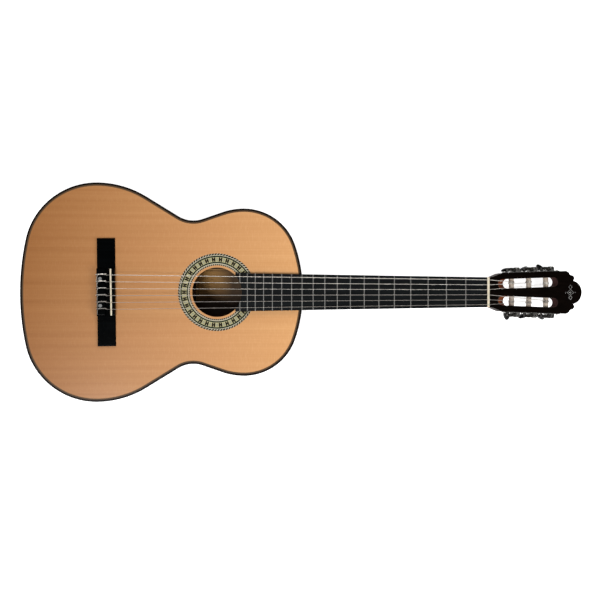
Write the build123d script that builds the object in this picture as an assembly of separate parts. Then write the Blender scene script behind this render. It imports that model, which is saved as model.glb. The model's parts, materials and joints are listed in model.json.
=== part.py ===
from build123d import *
import os
from math import acos, atan2, cos, degrees, hypot, pi, radians, sin, sqrt, tan

# A full-size classical guitar with a slotted head, lying on its back, in millimetres.
# +X runs along the neck towards the head, +Y to the bass side, +Z out of the soundboard.
# The origin is on the back's outer face, on the centre line, halfway along the body.
# The body is shallower at the neck, so the guitar is drawn with its soundboard level and
# its back sloping through the origin, and LAY_FLAT then turns it until the back is level.

# Lengths along the centre line. NUT_X is where the scale ends, a little in front of the nut
SCALE_LENGTH = 650.0
SADDLE_SETBACK = 4.1
BODY_LENGTH = 487.9
JOIN_PAST_FRET = 2.1
NUT_SETBACK = 1.7
NUT_THICKNESS = 4.3
HEAD_LENGTH = 188.6
HEAD_ANGLE = 13.4
HEAD_VENEER = 2.0
TAIL_X = -BODY_LENGTH / 2
JOIN_X = BODY_LENGTH / 2
NUT_X = JOIN_X + SCALE_LENGTH / 2 - JOIN_PAST_FRET
NUT_FRONT_X = NUT_X + NUT_SETBACK
HEAD_START_X = NUT_FRONT_X + NUT_THICKNESS
SADDLE_X = NUT_X - SCALE_LENGTH - SADDLE_SETBACK

# Body outline: widths, and the radii of the arcs that one half of it is drawn with
LOWER_BOUT = 379.6
WAIST = 249.5
UPPER_BOUT = 292.0
TAIL_RADIUS = 440.0
LOWER_REAR_RADIUS = 124.6
LOWER_FRONT_RADIUS = 161.5
WAIST_RADIUS = 49.0
UPPER_REAR_RADIUS = 115.0
UPPER_FRONT_RADIUS = 93.8
SHOULDER_RADIUS = 253.0
WAIST_X = TAIL_X + 296.8

# Body depth and the thickness of its layers
TAIL_DEPTH = 100.0
JOIN_DEPTH = 94.0
TOP_Z = (TAIL_DEPTH + JOIN_DEPTH) / 2
BACK_SLOPE = degrees(atan2(TAIL_DEPTH - JOIN_DEPTH, BODY_LENGTH))
TOP_THICKNESS = 2.7
BACK_THICKNESS = 2.8
SIDE_THICKNESS = 3.0
BINDING_HEIGHT = 6.0
BINDING_ROUND = 1.3
PURFLING_WIDTH = 3.0
PURFLING_DEPTH = 1.5
LINING_WIDTH = 6.5
LINING_HEIGHT = 15.0
BACK_STRIP_WIDTH = 6.0
TOP_UNDERSIDE = TOP_Z - TOP_THICKNESS
LINING_INSET = SIDE_THICKNESS + LINING_WIDTH
BELOW = -30.0
TALL = 200.0
REACH = 1000.0
LAY_FLAT = Rot(0, BACK_SLOPE, 0)

# Sound hole and rosette
SOUNDHOLE_X = NUT_X - 472.8
SOUNDHOLE_RADIUS = 43.1
ROSETTE_INNER = 46.8
ROSETTE_OUTER = 67.5
ROSETTE_DEPTH = 1.0

# Blocks and braces
NECK_BLOCK_LENGTH = 62.0
NECK_BLOCK_WIDTH = 76.0
TAIL_BLOCK_LENGTH = 18.0
TAIL_BLOCK_WIDTH = 64.0
FAN_COUNT = 5
FAN_STEP = 6.5
FAN_WIDTH = 5.0
FAN_HEIGHT = 4.5
FAN_SPACING = 36.0
BAR_WIDTH = 7.0
BAR_HEIGHT = 14.0
BACK_BRACE_WIDTH = 8.0
LABEL_LENGTH = 84.0
LABEL_WIDTH = 58.0
LABEL_THICKNESS = 0.2
LABEL_OFFSET = 14.5  # toward the bass side

# Bridge: distances from its rear edge, heights above the soundboard
BRIDGE_LENGTH = 186.6
BRIDGE_WIDTH = 31.2
BRIDGE_REAR_X = SADDLE_X - 24.6
BRIDGE_TURN = 0.54
WING_ROUND = 1.6
BLOCK_LENGTH = 82.0
BLOCK_HEIGHT = 9.0
WING_HEIGHT = 3.4
BLOCK_ROUND = 2.5
TIE_BLOCK_WIDTH = 14.0
VALLEY_END = 20.4
VALLEY_SHOULDER = 2.0
TIE_HOLE_HEIGHT = 4.6
TIE_HOLE_RADIUS = 0.9
SADDLE_THICKNESS = 2.8
SADDLE_LENGTH = 80.0
SADDLE_TURN = 1.07
SADDLE_SEAT = 3.2
DOT_RADIUS = 3.1
DOT_THICKNESS = 1.0
BOLT_RADIUS = 2.0
BOLT_Y = 23.2
BOLT_X = BRIDGE_REAR_X + 6.0
BOLT_LENGTH = 16.7
HEX_WIDTH = 7.0
HEX_THICKNESS = 3.0

# Neck, fretboard and frets
NUT_END_WIDTH = 53.0
JOIN_WIDTH = 62.8
SHAFT_DEPTH_NUT = 15.5
SHAFT_DEPTH_JOIN = 18.0
SHAFT_SIDE = 2.5
FRETBOARD_THICKNESS = 5.8
FRETBOARD_LENGTH = 441.0
FRET_COUNT = 19
FRET_WIDTH = 2.1
FRET_HEIGHT = 0.95
TANG_WIDTH = 0.55
TANG_DEPTH = 1.8
TENON_WIDTH = 20.0
TENON_LENGTH = 25.0
NECK_INSIDE_BODY = 6.0
HEEL_CAP = 2.0
HEEL_STATIONS = (
    (2.0, 17.0, 13.5),
    (25.0, 20.0, 16.0),
    (47.0, 27.0, 20.5),
    (65.0, 41.0, 25.2),
    (77.0, 62.0, 28.6),
    (84.0, 96.0, 30.3),
)

# Head, in its own frame: u along the face from the nut, v to the bass side, w up from the wood
HEAD_THICKNESS = 18.0
HEAD_FLARE = 2.1
SIDE_START_U = 29.5
SIDE_START_V = 34.3
SIDE_END_U = 151.5
SHOULDER_STEPS = (
    (158.5, 38.0),
    (162.2, 35.4),
    (163.8, 32.6),
    (166.4, 31.2),
    (171.8, 29.0),
    (173.2, 25.4),
)
LOBE_RADIUS = 21.4
LOBE_NOTCH = 3.7
THROAT_LENGTH = 29.0
SLOT_WIDTH = 17.0
SLOT_START_U = 16.5
SLOT_END_U = 140.0
RAMP_RUN = 22.0
SLOT_OFFSET_V = 14.4

# Tuning machines, along the head's side: a towards the tip, b outwards, c up
FIRST_ROLLER_U = 48.6
ROLLER_SPACING = 35.0
ROLLER_W = -7.2
ROLLER_RADIUS = 4.75
ROLLER_REACH = 31.0
NECK_RADIUS = 3.0
SPINDLE_RADIUS = 2.5
RUNNING = 0.08
PLATE_THICKNESS = 1.2
PLATE_WIDTH = 17.0
PLATE_START = -18.0
PLATE_END = 99.0
GEAR_TEETH = 14
MODULE = 1.0
GEAR_THICKNESS = 4.4
GEAR_MID_B = 5.6
WORM_PITCH_RADIUS = 3.0
WORM_OFFSET = GEAR_TEETH * MODULE / 2 + WORM_PITCH_RADIUS
WORM_LEAD = pi * MODULE
WORM_TURNS = 3
TOOTH_THICKNESS = 1.1
THREAD_THICKNESS = 1.05
SHAFT_RADIUS = 1.5
BEARING_GAP = 0.5
BEARING_THICKNESS = 3.0
BEARING_RADIUS = 3.6
BUTTON_START = -22.0
BUTTON_DEPTH = 12.0
BUTTON_STATIONS = (
    (0.0, 3.0, 2.6),
    (3.0, 5.2, 3.3),
    (8.0, 8.8, 4.0),
    (13.0, 9.8, 3.9),
    (17.0, 7.6, 3.1),
    (19.0, 4.0, 1.9),
)
BUTTON_TURNS = (8.0, 30.0, 118.0, 140.0, 32.0, 100.0)
SCREW_STATIONS = (-13.0, 22.5, 57.5, 94.0)
SCREW_HEAD_RADIUS = 2.3
SCREW_HEAD_HEIGHT = 1.3
SCREW_SHANK_RADIUS = 1.1
SCREW_LENGTH = 8.5
STRING_HOLE_B = -19.0
STRING_HOLE_RADIUS = 0.9

# Strings, bass to treble: radii, and spread at the nut and the saddle
STRING_RADII = (0.56, 0.45, 0.37, 0.51, 0.41, 0.36)
NUT_SPREAD = 43.5
SADDLE_SPREAD = 59.0
STRING_OVER_FRET = 0.45
STRING_GAP = 0.04
LOOP_SIDE = 1.6
ROLLER_STRING_V = (18.6, 17.2, 15.2)
NUT_STRING_Z = TOP_Z + FRETBOARD_THICKNESS + FRET_HEIGHT + STRING_OVER_FRET
SADDLE_HEIGHT_BASS = 12.6
SADDLE_HEIGHT_TREBLE = 12.0


# ---------------------------------------------------------------- body outline

def polar(centre, towards, radius):
    """The point at radius from centre, in the direction of another point."""
    dx, dy = towards[0] - centre[0], towards[1] - centre[1]
    reach = hypot(dx, dy)
    return (centre[0] + dx / reach * radius, centre[1] + dy / reach * radius)


def arc(centre, start, end):
    """The shorter arc from start to end about centre."""
    middle = ((start[0] + end[0]) / 2, (start[1] + end[1]) / 2)
    radius = hypot(start[0] - centre[0], start[1] - centre[1])
    return ThreePointArc(start, polar(centre, middle, radius), end)


def crossing_tangent(convex, convex_radius, concave, concave_radius, side):
    """Ends of the line that leaves the convex arc and joins the concave one, on the side stated."""
    dx, dy = concave[0] - convex[0], concave[1] - convex[1]
    lean = side * sqrt(dx * dx + dy * dy - (convex_radius + concave_radius) ** 2)
    total = convex_radius + concave_radius
    square = dx * dx + dy * dy
    nx = (dx * total - dy * lean) / square
    ny = (dy * total + dx * lean) / square
    return (
        (convex[0] + nx * convex_radius, convex[1] + ny * convex_radius),
        (concave[0] - nx * concave_radius, concave[1] - ny * concave_radius),
    )


def half_outline(inset):
    """Edges of the bass half of the body's outline, from tail to neck, moved inwards by inset."""
    low, waist, high = LOWER_BOUT / 2, WAIST / 2, UPPER_BOUT / 2
    lower_x = TAIL_X + TAIL_RADIUS - sqrt(
        (TAIL_RADIUS - LOWER_REAR_RADIUS) ** 2 - (low - LOWER_REAR_RADIUS) ** 2
    )
    upper_x = JOIN_X - SHOULDER_RADIUS + sqrt(
        (SHOULDER_RADIUS - UPPER_FRONT_RADIUS) ** 2 - (high - UPPER_FRONT_RADIUS) ** 2
    )
    tail = (TAIL_X + TAIL_RADIUS, 0)
    rear = (lower_x, low - LOWER_REAR_RADIUS)
    front = (lower_x, low - LOWER_FRONT_RADIUS)
    hollow = (WAIST_X, waist + WAIST_RADIUS)
    upper_rear = (upper_x, high - UPPER_REAR_RADIUS)
    upper_front = (upper_x, high - UPPER_FRONT_RADIUS)
    shoulder = (JOIN_X - SHOULDER_RADIUS, 0)

    start = (TAIL_X + inset, 0)
    tail_end = polar(tail, rear, TAIL_RADIUS - inset)
    widest = (lower_x, low - inset)
    line_a = crossing_tangent(
        front, LOWER_FRONT_RADIUS - inset, hollow, WAIST_RADIUS + inset, 1
    )
    line_b = crossing_tangent(
        upper_rear, UPPER_REAR_RADIUS - inset, hollow, WAIST_RADIUS + inset, -1
    )
    upper_top = (upper_x, high - inset)
    shoulder_start = polar(shoulder, upper_front, SHOULDER_RADIUS - inset)
    end = (JOIN_X - inset, 0)
    return [
        arc(tail, start, tail_end),
        arc(rear, tail_end, widest),
        arc(front, widest, line_a[0]),
        Line(line_a[0], line_a[1]),
        arc(hollow, line_a[1], line_b[1]),
        Line(line_b[1], line_b[0]),
        arc(upper_rear, line_b[0], upper_top),
        arc(upper_front, upper_top, shoulder_start),
        arc(shoulder, shoulder_start, end),
    ]


def body_prism(inset, low, high):
    """The body's outline, moved inwards by inset, filled from height low to height high."""
    bass = half_outline(inset)
    treble = [edge.mirror(Plane.XZ) for edge in bass]
    face = make_face([*bass, *treble])
    return extrude(Pos(0, 0, low) * face, amount=high - low, dir=(0, 0, 1))


def rim(outer, inner, low, high):
    """A wall that follows the outline between two insets."""
    return body_prism(outer, low, high) - body_prism(inner, low - 1, high + 1)


def block(x_range, y_range, z_range):
    """A box between three pairs of coordinates."""
    sizes = [high - low for low, high in (x_range, y_range, z_range)]
    middles = [(high + low) / 2 for low, high in (x_range, y_range, z_range)]
    return Pos(*middles) * Box(*sizes)


def back_layer(low, high):
    """The space between two planes parallel to the sloping back, low and high above its outer face."""
    slab = block((-REACH, REACH), (-LOWER_BOUT, LOWER_BOUT), (low, high))
    return Rot(0, -BACK_SLOPE, 0) * slab


def halves(shape):
    """A shape cut into its bass and treble halves along the centre line."""
    bass = block((-REACH, REACH), (0, REACH), (-REACH, REACH))
    treble = block((-REACH, REACH), (-REACH, 0), (-REACH, REACH))
    return shape & bass, shape & treble


def solids_of(*shapes):
    """One compound that holds every solid of the shapes."""
    return Compound([solid for shape in shapes for solid in shape.solids()])


# ---------------------------------------------------------------- body parts

def tenon():
    """The neck's tenon, which passes through the sides into the neck block."""
    half, bottom, top = TENON_WIDTH / 2, 30, TOP_Z - 10
    return block((JOIN_X - TENON_LENGTH, JOIN_X + 4), (-half, half), (bottom, top))


def top_disc(radius, depth):
    """A disc at the sound hole, from the soundboard's face down to depth."""
    return Pos(SOUNDHOLE_X, 0, TOP_Z - depth / 2) * Cylinder(radius, depth)


def make_rosette():
    return top_disc(ROSETTE_OUTER, ROSETTE_DEPTH) - top_disc(ROSETTE_INNER, ROSETTE_DEPTH)


def make_purfling():
    inner = SIDE_THICKNESS + PURFLING_WIDTH
    return rim(SIDE_THICKNESS, inner, TOP_Z - PURFLING_DEPTH, TOP_Z)


def make_soundboard():
    board = body_prism(SIDE_THICKNESS, TOP_UNDERSIDE, TOP_Z)
    board -= Pos(SOUNDHOLE_X, 0, TOP_Z) * Cylinder(SOUNDHOLE_RADIUS, 4 * TOP_THICKNESS)
    return board - make_rosette() - make_purfling() - bridge_bolts()


def make_top_binding():
    ring = rim(0, SIDE_THICKNESS, TOP_Z - BINDING_HEIGHT, TOP_Z)
    edges = ring.faces().sort_by(Axis.Z)[-1].outer_wire().edges()
    return solids_of(*halves(fillet(edges, BINDING_ROUND)))


def make_back_binding():
    ring = rim(0, SIDE_THICKNESS, BELOW, TOP_Z / 2) & back_layer(0, BINDING_HEIGHT)
    edges = ring.faces().sort_by(Axis.Z)[0].outer_wire().edges()
    return solids_of(*halves(fillet(edges, BINDING_ROUND)))


def make_sides():
    wall = rim(0, SIDE_THICKNESS, BELOW, TOP_Z - BINDING_HEIGHT)
    return halves((wall & back_layer(BINDING_HEIGHT, TALL)) - tenon())


def back_strip():
    strip = body_prism(SIDE_THICKNESS, BELOW, TOP_Z / 2) & back_layer(0, BACK_THICKNESS)
    half = BACK_STRIP_WIDTH / 2
    return strip & block((TAIL_X, JOIN_X), (-half, half), (BELOW, TOP_Z))


def make_back_plates():
    plate = body_prism(SIDE_THICKNESS, BELOW, TOP_Z / 2) & back_layer(0, BACK_THICKNESS)
    return solids_of(plate - back_strip())


def neck_block():
    half = NECK_BLOCK_WIDTH / 2
    inside = body_prism(SIDE_THICKNESS, BELOW, TOP_UNDERSIDE) & back_layer(BACK_THICKNESS, TALL)
    inside &= block((JOIN_X - NECK_BLOCK_LENGTH, JOIN_X), (-half, half), (BELOW, TOP_Z))
    return inside - tenon()


def tail_block():
    half = TAIL_BLOCK_WIDTH / 2
    inside = body_prism(SIDE_THICKNESS, BELOW, TOP_UNDERSIDE) & back_layer(BACK_THICKNESS, TALL)
    return inside & block((TAIL_X, TAIL_X + TAIL_BLOCK_LENGTH), (-half, half), (BELOW, TOP_Z))


def between_blocks(shape):
    """A lining with the neck and tail blocks' places cut out of it."""
    neck_half, tail_half = NECK_BLOCK_WIDTH / 2, TAIL_BLOCK_WIDTH / 2
    shape -= block((JOIN_X - NECK_BLOCK_LENGTH, JOIN_X), (-neck_half, neck_half), (BELOW, TALL))
    return shape - block((TAIL_X, TAIL_X + TAIL_BLOCK_LENGTH), (-tail_half, tail_half), (BELOW, TALL))


def make_top_lining():
    ring = rim(SIDE_THICKNESS, LINING_INSET, TOP_UNDERSIDE - LINING_HEIGHT, TOP_UNDERSIDE)
    return solids_of(between_blocks(ring))


def make_back_lining():
    ring = rim(SIDE_THICKNESS, LINING_INSET, BELOW, TOP_Z / 2)
    layer = back_layer(BACK_THICKNESS, BACK_THICKNESS + LINING_HEIGHT)
    return solids_of(between_blocks(ring & layer))


def fan_braces():
    """Thin struts under the lower bout that fan out from a point beyond the sound hole."""
    reach = FAN_SPACING / sin(radians(FAN_STEP))
    start = reach - (SOUNDHOLE_X - 74 - SADDLE_X)
    inside = body_prism(LINING_INSET + 4, BELOW, TOP_Z)
    inside &= block((TAIL_X, SOUNDHOLE_X - 72), (-LOWER_BOUT, LOWER_BOUT), (BELOW, TOP_Z))
    struts = []
    for index in range(FAN_COUNT):
        turn = (index - (FAN_COUNT - 1) / 2) * FAN_STEP
        strut = block((-reach - 125, -start), (-FAN_WIDTH / 2, FAN_WIDTH / 2), (-FAN_HEIGHT, 0))
        placed = Pos(SADDLE_X + reach, 0, TOP_UNDERSIDE) * Rot(0, 0, turn) * strut
        struts.append(placed & inside)
    return solids_of(*struts)


def cross_bar(x, width, z_range, layer=None):
    """A bar across the inside of the body, trimmed to the linings."""
    bar = block((x - width / 2, x + width / 2), (-LOWER_BOUT, LOWER_BOUT), z_range)
    bar &= body_prism(LINING_INSET, BELOW, TOP_UNDERSIDE)
    return bar & layer if layer else bar


def harmonic_bars():
    stations = (SOUNDHOLE_X - 66, SOUNDHOLE_X + 60)
    heights = (TOP_UNDERSIDE - BAR_HEIGHT, TOP_UNDERSIDE)
    return solids_of(*[cross_bar(x, BAR_WIDTH, heights) for x in stations])


def back_braces():
    stations = (SOUNDHOLE_X + 62, SOUNDHOLE_X - 74, SADDLE_X - 48)
    layer = back_layer(BACK_THICKNESS, BACK_THICKNESS + LINING_HEIGHT)
    return solids_of(*[cross_bar(x, BACK_BRACE_WIDTH, (BELOW, TOP_Z / 2), layer) for x in stations])


def make_label():
    half_x, half_y = LABEL_LENGTH / 2, LABEL_WIDTH / 2
    width = (LABEL_OFFSET - half_y, LABEL_OFFSET + half_y)
    sheet = block((SOUNDHOLE_X - half_x, SOUNDHOLE_X + half_x), width, (BELOW, TOP_Z))
    return sheet & back_layer(BACK_THICKNESS, BACK_THICKNESS + LABEL_THICKNESS)


# ---------------------------------------------------------------- bridge

def turned(shape, angle):
    """Turned about the upright line through the middle of the saddle."""
    return Pos(SADDLE_X, 0, 0) * Rot(0, 0, angle) * Pos(-SADDLE_X, 0, 0) * shape


def turned_by(y, angle):
    """How far along X such a turn moves a straight edge, at a distance y from the centre line."""
    return -y * tan(radians(angle))


def bridge_bolts():
    """Two bolts through the tie block, with hexagon nuts under the soundboard."""
    top = TOP_Z + BLOCK_HEIGHT - DOT_THICKNESS
    bolts = []
    for y in (BOLT_Y, -BOLT_Y):
        head = Pos(BOLT_X, y, top - 1) * Cylinder(DOT_RADIUS, 2)
        shank = Pos(BOLT_X, y, top - BOLT_LENGTH / 2) * Cylinder(BOLT_RADIUS, BOLT_LENGTH)
        hexagon = RegularPolygon(HEX_WIDTH / sqrt(3), 6)
        nut = extrude(Pos(BOLT_X, y, TOP_UNDERSIDE - HEX_THICKNESS) * hexagon, amount=HEX_THICKNESS)
        bolts.append(head + shank)
        bolts.append(nut - shank)
    return turned(solids_of(*bolts), BRIDGE_TURN)


def bridge_dots():
    z = TOP_Z + BLOCK_HEIGHT - DOT_THICKNESS / 2
    dots = [Pos(BOLT_X, y, z) * Cylinder(DOT_RADIUS, DOT_THICKNESS) for y in (BOLT_Y, -BOLT_Y)]
    return turned(solids_of(*dots), BRIDGE_TURN)


def saddle_crest(y):
    """The height of the saddle's top, which falls from its bass end to its treble end."""
    middle = (SADDLE_HEIGHT_BASS + SADDLE_HEIGHT_TREBLE) / 2
    return TOP_Z + middle + (SADDLE_HEIGHT_BASS - SADDLE_HEIGHT_TREBLE) * y / SADDLE_LENGTH


def make_saddle():
    """A bone blade with a half-round top, from its treble end to its bass end."""
    half, base = SADDLE_THICKNESS / 2, TOP_Z + SADDLE_SEAT
    sections = []
    for y in (-SADDLE_LENGTH / 2, SADDLE_LENGTH / 2):
        shoulder = saddle_crest(y) - half
        crown = ThreePointArc((half, shoulder), (0, shoulder + half), (-half, shoulder))
        sides = Polyline((-half, shoulder), (-half, base), (half, base), (half, shoulder))
        across = Plane(origin=(SADDLE_X, y, 0), x_dir=(1, 0, 0), z_dir=(0, -1, 0))
        sections.append(across * make_face([crown, *sides.edges()]))
    return turned(loft(sections, ruled=True), SADDLE_TURN)


def make_bridge():
    rear, front = BRIDGE_REAR_X, BRIDGE_REAR_X + BRIDGE_WIDTH
    half, block_half = BRIDGE_LENGTH / 2, BLOCK_LENGTH / 2
    tie_front, valley_end = rear + TIE_BLOCK_WIDTH, rear + VALLEY_END
    wings = block((rear, front), (-half, half), (TOP_Z, TOP_Z + WING_HEIGHT))
    wings = fillet(wings.faces().sort_by(Axis.Z)[-1].edges(), WING_ROUND)
    blocks = block((rear, front), (-block_half, block_half), (TOP_Z, TOP_Z + BLOCK_HEIGHT))
    blocks = fillet(blocks.edges().filter_by(Axis.X).sort_by(Axis.Z)[-2:], BLOCK_ROUND)
    valley_floor = TOP_Z + WING_HEIGHT
    blocks -= block((tie_front, valley_end), (-block_half, block_half), (valley_floor, TOP_Z + TALL))
    tops = blocks.edges().filter_by(Axis.Y).group_by(Axis.Z)[-1]
    valley_edge = [edge for edge in tops if abs(edge.center().X - valley_end) < 0.1]
    blocks = chamfer(valley_edge, VALLEY_SHOULDER)
    bridge = turned(wings + blocks, BRIDGE_TURN)
    drill = Rot(0, 90, 0) * Cylinder(TIE_HOLE_RADIUS, TIE_BLOCK_WIDTH + 4)
    for y in string_offsets(SADDLE_SPREAD):
        bridge -= Pos(rear + TIE_BLOCK_WIDTH / 2, y, TOP_Z + TIE_HOLE_HEIGHT) * drill
    return bridge - make_saddle() - bridge_bolts() - bridge_dots()


# ---------------------------------------------------------------- neck and head

def shaft_section(x, width, depth):
    """The neck's cross-section: flat on top, with short upright sides and a half-ellipse below."""
    half = width / 2
    lower = EllipticalCenterArc((0, -SHAFT_SIDE), half, depth - SHAFT_SIDE, 180, arc_size=180)
    lines = [
        Line((half, -SHAFT_SIDE), (half, 0)),
        Line((half, 0), (-half, 0)),
        Line((-half, 0), (-half, -SHAFT_SIDE)),
    ]
    across = Plane(origin=(x, 0, TOP_Z), x_dir=(0, 1, 0), z_dir=(1, 0, 0))
    return across * make_face([lower, *lines])


def heel():
    """The heel, lofted through half-ellipses that grow from the heel cap to the neck's underside."""
    inside = JOIN_X - NECK_INSIDE_BODY
    sections = []
    for z, reach, half in HEEL_STATIONS:
        nose = EllipticalCenterArc((JOIN_X, 0), reach, half, -90, arc_size=180)
        back = Polyline((JOIN_X, half), (inside, half), (inside, -half), (JOIN_X, -half))
        sections.append(Pos(0, 0, z) * make_face([nose, *back.edges()]))
    return loft(sections)


def head_frame():
    """The head's own frame, at the back edge of the nut on top of the wood."""
    slope = radians(HEAD_ANGLE)
    origin = (HEAD_START_X, 0, TOP_Z)
    return Plane(origin=origin, x_dir=(cos(slope), 0, -sin(slope)), z_dir=(sin(slope), 0, cos(slope)))


def head_outline(start):
    """Closed outline of the head from u = start: flared sides, a stepped shoulder and a round tip."""
    half = NUT_END_WIDTH / 2
    side_start = (SIDE_START_U, SIDE_START_V)
    side_end = (SIDE_END_U, SIDE_START_V + (SIDE_END_U - SIDE_START_U) * sin(radians(HEAD_FLARE)))
    lobe_u = HEAD_LENGTH - LOBE_RADIUS
    notch = (lobe_u + LOBE_NOTCH, sqrt(LOBE_RADIUS**2 - LOBE_NOTCH**2))
    lobe_middle = polar((lobe_u, 0), (lobe_u + 1, 1), LOBE_RADIUS)
    cheek, step, dip, ledge, bead, corner = SHOULDER_STEPS
    bass = [
        Line((start, 0), (start, half)),
        Bezier((start, half), (14, half + 0.4), (17, SIDE_START_V - 1.0), side_start),
        Line(side_start, side_end),
        ThreePointArc(side_end, cheek, step),
        ThreePointArc(step, dip, ledge),
        ThreePointArc(ledge, bead, corner),
        Line(corner, notch),
        ThreePointArc(notch, lobe_middle, (HEAD_LENGTH, 0)),
    ]
    return make_face([*bass, *[edge.mirror(Plane.XZ) for edge in bass]])


def slot_face(start_u, end_u, w):
    """The outline of the bass slot at height w: straight sides and round ends, splayed by the flare."""
    length = end_u - start_u
    centre_u = (start_u + end_u) / 2
    centre_v = SLOT_OFFSET_V + (centre_u - SLOT_START_U) * sin(radians(HEAD_FLARE))
    return Pos(centre_u, centre_v, w) * Rot(0, 0, HEAD_FLARE) * SlotOverall(length, SLOT_WIDTH)


def slot_cutter():
    """Cuts the bass slot, with the string ramp at its nut end."""
    top, bottom = HEAD_VENEER + 1, -HEAD_THICKNESS - 1
    run = RAMP_RUN / (HEAD_THICKNESS + HEAD_VENEER)
    upper = slot_face(SLOT_START_U - run, SLOT_END_U, top)
    lower = slot_face(SLOT_START_U + RAMP_RUN + run, SLOT_END_U, bottom)
    return loft([upper, lower], ruled=True)


def both_slots():
    cutter = slot_cutter()
    return cutter + cutter.mirror(Plane.XZ)


def head_wood():
    """The head below its veneer, rounded underneath where it grows out of the neck."""
    slab = extrude(head_outline(0), amount=HEAD_THICKNESS, dir=(0, 0, -1))
    near_bowl = (NUT_END_WIDTH / 2 + 0.2, SHAFT_DEPTH_NUT + 1.1)
    far_bowl = (2 * SIDE_START_V, 44.0)
    sections = []
    for u, (half, depth) in ((0.0, near_bowl), (THROAT_LENGTH, far_bowl)):
        across = Plane(origin=(u, 0, 0), x_dir=(0, 1, 0), z_dir=(1, 0, 0))
        bowl = EllipticalCenterArc((0, 0), half, depth, 180, arc_size=180)
        sections.append(across * make_face([bowl, Line((half, 0), (-half, 0))]))
    throat = loft(sections, ruled=True)
    near = slab & block((-2, THROAT_LENGTH), (-TALL, TALL), (-TALL, TALL)) & throat
    far = slab & block((THROAT_LENGTH, 2 * TALL), (-TALL, TALL), (-TALL, TALL))
    return near + far


def roller_bores():
    """Bores for the bass rollers, from the side face into the rib between the slots."""
    radius = ROLLER_RADIUS + RUNNING
    rods = [side_rod(k * ROLLER_SPACING, -ROLLER_REACH - 0.5, 0, radius) for k in range(3)]
    return [side_location() * rod for rod in rods]


def make_neck():
    start_x = JOIN_X - NECK_INSIDE_BODY
    shaft = loft([
        shaft_section(start_x, board_width(start_x), SHAFT_DEPTH_JOIN),
        shaft_section(HEAD_START_X, board_width(HEAD_START_X), SHAFT_DEPTH_NUT),
    ])
    body = body_prism(0, BELOW, TOP_Z + 1)
    heel_block = (heel() & back_layer(HEEL_CAP, TALL)) - body
    shaft -= body
    tuner_side = side_screws() + roller_bores()
    cuts = [both_slots(), *tuner_side, *[cut.mirror(Plane.XZ) for cut in tuner_side]]
    head = head_wood()
    for cut in cuts:
        head -= cut
    return shaft + heel_block + head_location() * head + tenon()


def heel_cap():
    return (heel() & back_layer(0, HEEL_CAP)) - body_prism(0, BELOW, TOP_Z)


def head_veneer():
    """The black facing on the head, which butts against the nut."""
    sheet = extrude(head_outline(-1), amount=HEAD_VENEER, dir=(0, 0, 1)) - both_slots()
    return (head_location() * sheet) & block((HEAD_START_X, REACH), (-TALL, TALL), (-TALL, TALL))


def head_location():
    return head_frame().location


def board_width(x):
    """The fretboard's width at x."""
    return NUT_END_WIDTH + (JOIN_WIDTH - NUT_END_WIDTH) * (NUT_X - x) / (NUT_X - JOIN_X)


def board_outline(low, high, trim=0.0):
    """The fretboard's tapering plan, narrower by trim on each side, from height low to high."""
    end = NUT_X - FRETBOARD_LENGTH
    nut_half, end_half = board_width(NUT_FRONT_X) / 2 - trim, board_width(end) / 2 - trim
    corners = ((NUT_FRONT_X, -nut_half), (NUT_FRONT_X, nut_half), (end, end_half), (end, -end_half))
    plan = Polyline(*corners, close=True)
    board = extrude(Pos(0, 0, low) * make_face(plan), amount=high - low)
    return board - Pos(SOUNDHOLE_X, 0, TOP_Z) * Cylinder(SOUNDHOLE_RADIUS, TALL)


def make_frets():
    """Nineteen frets, each a rounded crown on a tang. The last is split by the sound hole."""
    face_z = TOP_Z + FRETBOARD_THICKNESS
    half = FRET_WIDTH / 2
    crown = make_face([
        ThreePointArc((-half, 0), (0, FRET_HEIGHT), (half, 0)),
        Line((half, 0), (-half, 0)),
    ])
    tang = Pos(0, -TANG_DEPTH / 2) * Rectangle(TANG_WIDTH, TANG_DEPTH)
    profile = crown + tang
    plan = board_outline(TOP_Z, TOP_Z + 20, trim=0.15)
    frets = []
    for number in range(1, FRET_COUNT + 1):
        x = NUT_X - SCALE_LENGTH * (1 - 2 ** (-number / 12))
        across = Plane(origin=(x, TALL / 2, face_z), x_dir=(1, 0, 0), z_dir=(0, -1, 0))
        frets.append(extrude(across * profile, amount=TALL) & plan)
    return solids_of(*frets)


def make_fretboard(frets):
    return board_outline(TOP_Z, TOP_Z + FRETBOARD_THICKNESS) - frets


def make_nut(strings):
    """The nut: a bone bar whose back corner is rounded, with a notch for each string."""
    half = NUT_END_WIDTH / 2
    top = NUT_STRING_Z + 0.45
    bar = block((NUT_FRONT_X, HEAD_START_X), (-half, half), (TOP_Z, top))
    back_edge = bar.edges().filter_by(Axis.Y).group_by(Axis.Z)[-1].sort_by(Axis.X)[-1]
    bar = fillet(back_edge, 2.0)
    for string in strings:
        bar -= string
    return bar


# ---------------------------------------------------------------- tuning machines

def side_location():
    """From the machine's frame (a, b, c) to the head's frame, at the first roller on the bass side."""
    start_v = SIDE_START_V + (FIRST_ROLLER_U - SIDE_START_U) * sin(radians(HEAD_FLARE))
    return Pos(FIRST_ROLLER_U, start_v, ROLLER_W) * Rot(0, 0, HEAD_FLARE)


def side_rod(a, low_b, high_b, radius, c=0.0):
    """A round rod square to the plate."""
    return Pos(a, (low_b + high_b) / 2, c) * Rot(90, 0, 0) * Cylinder(radius, high_b - low_b)


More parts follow.
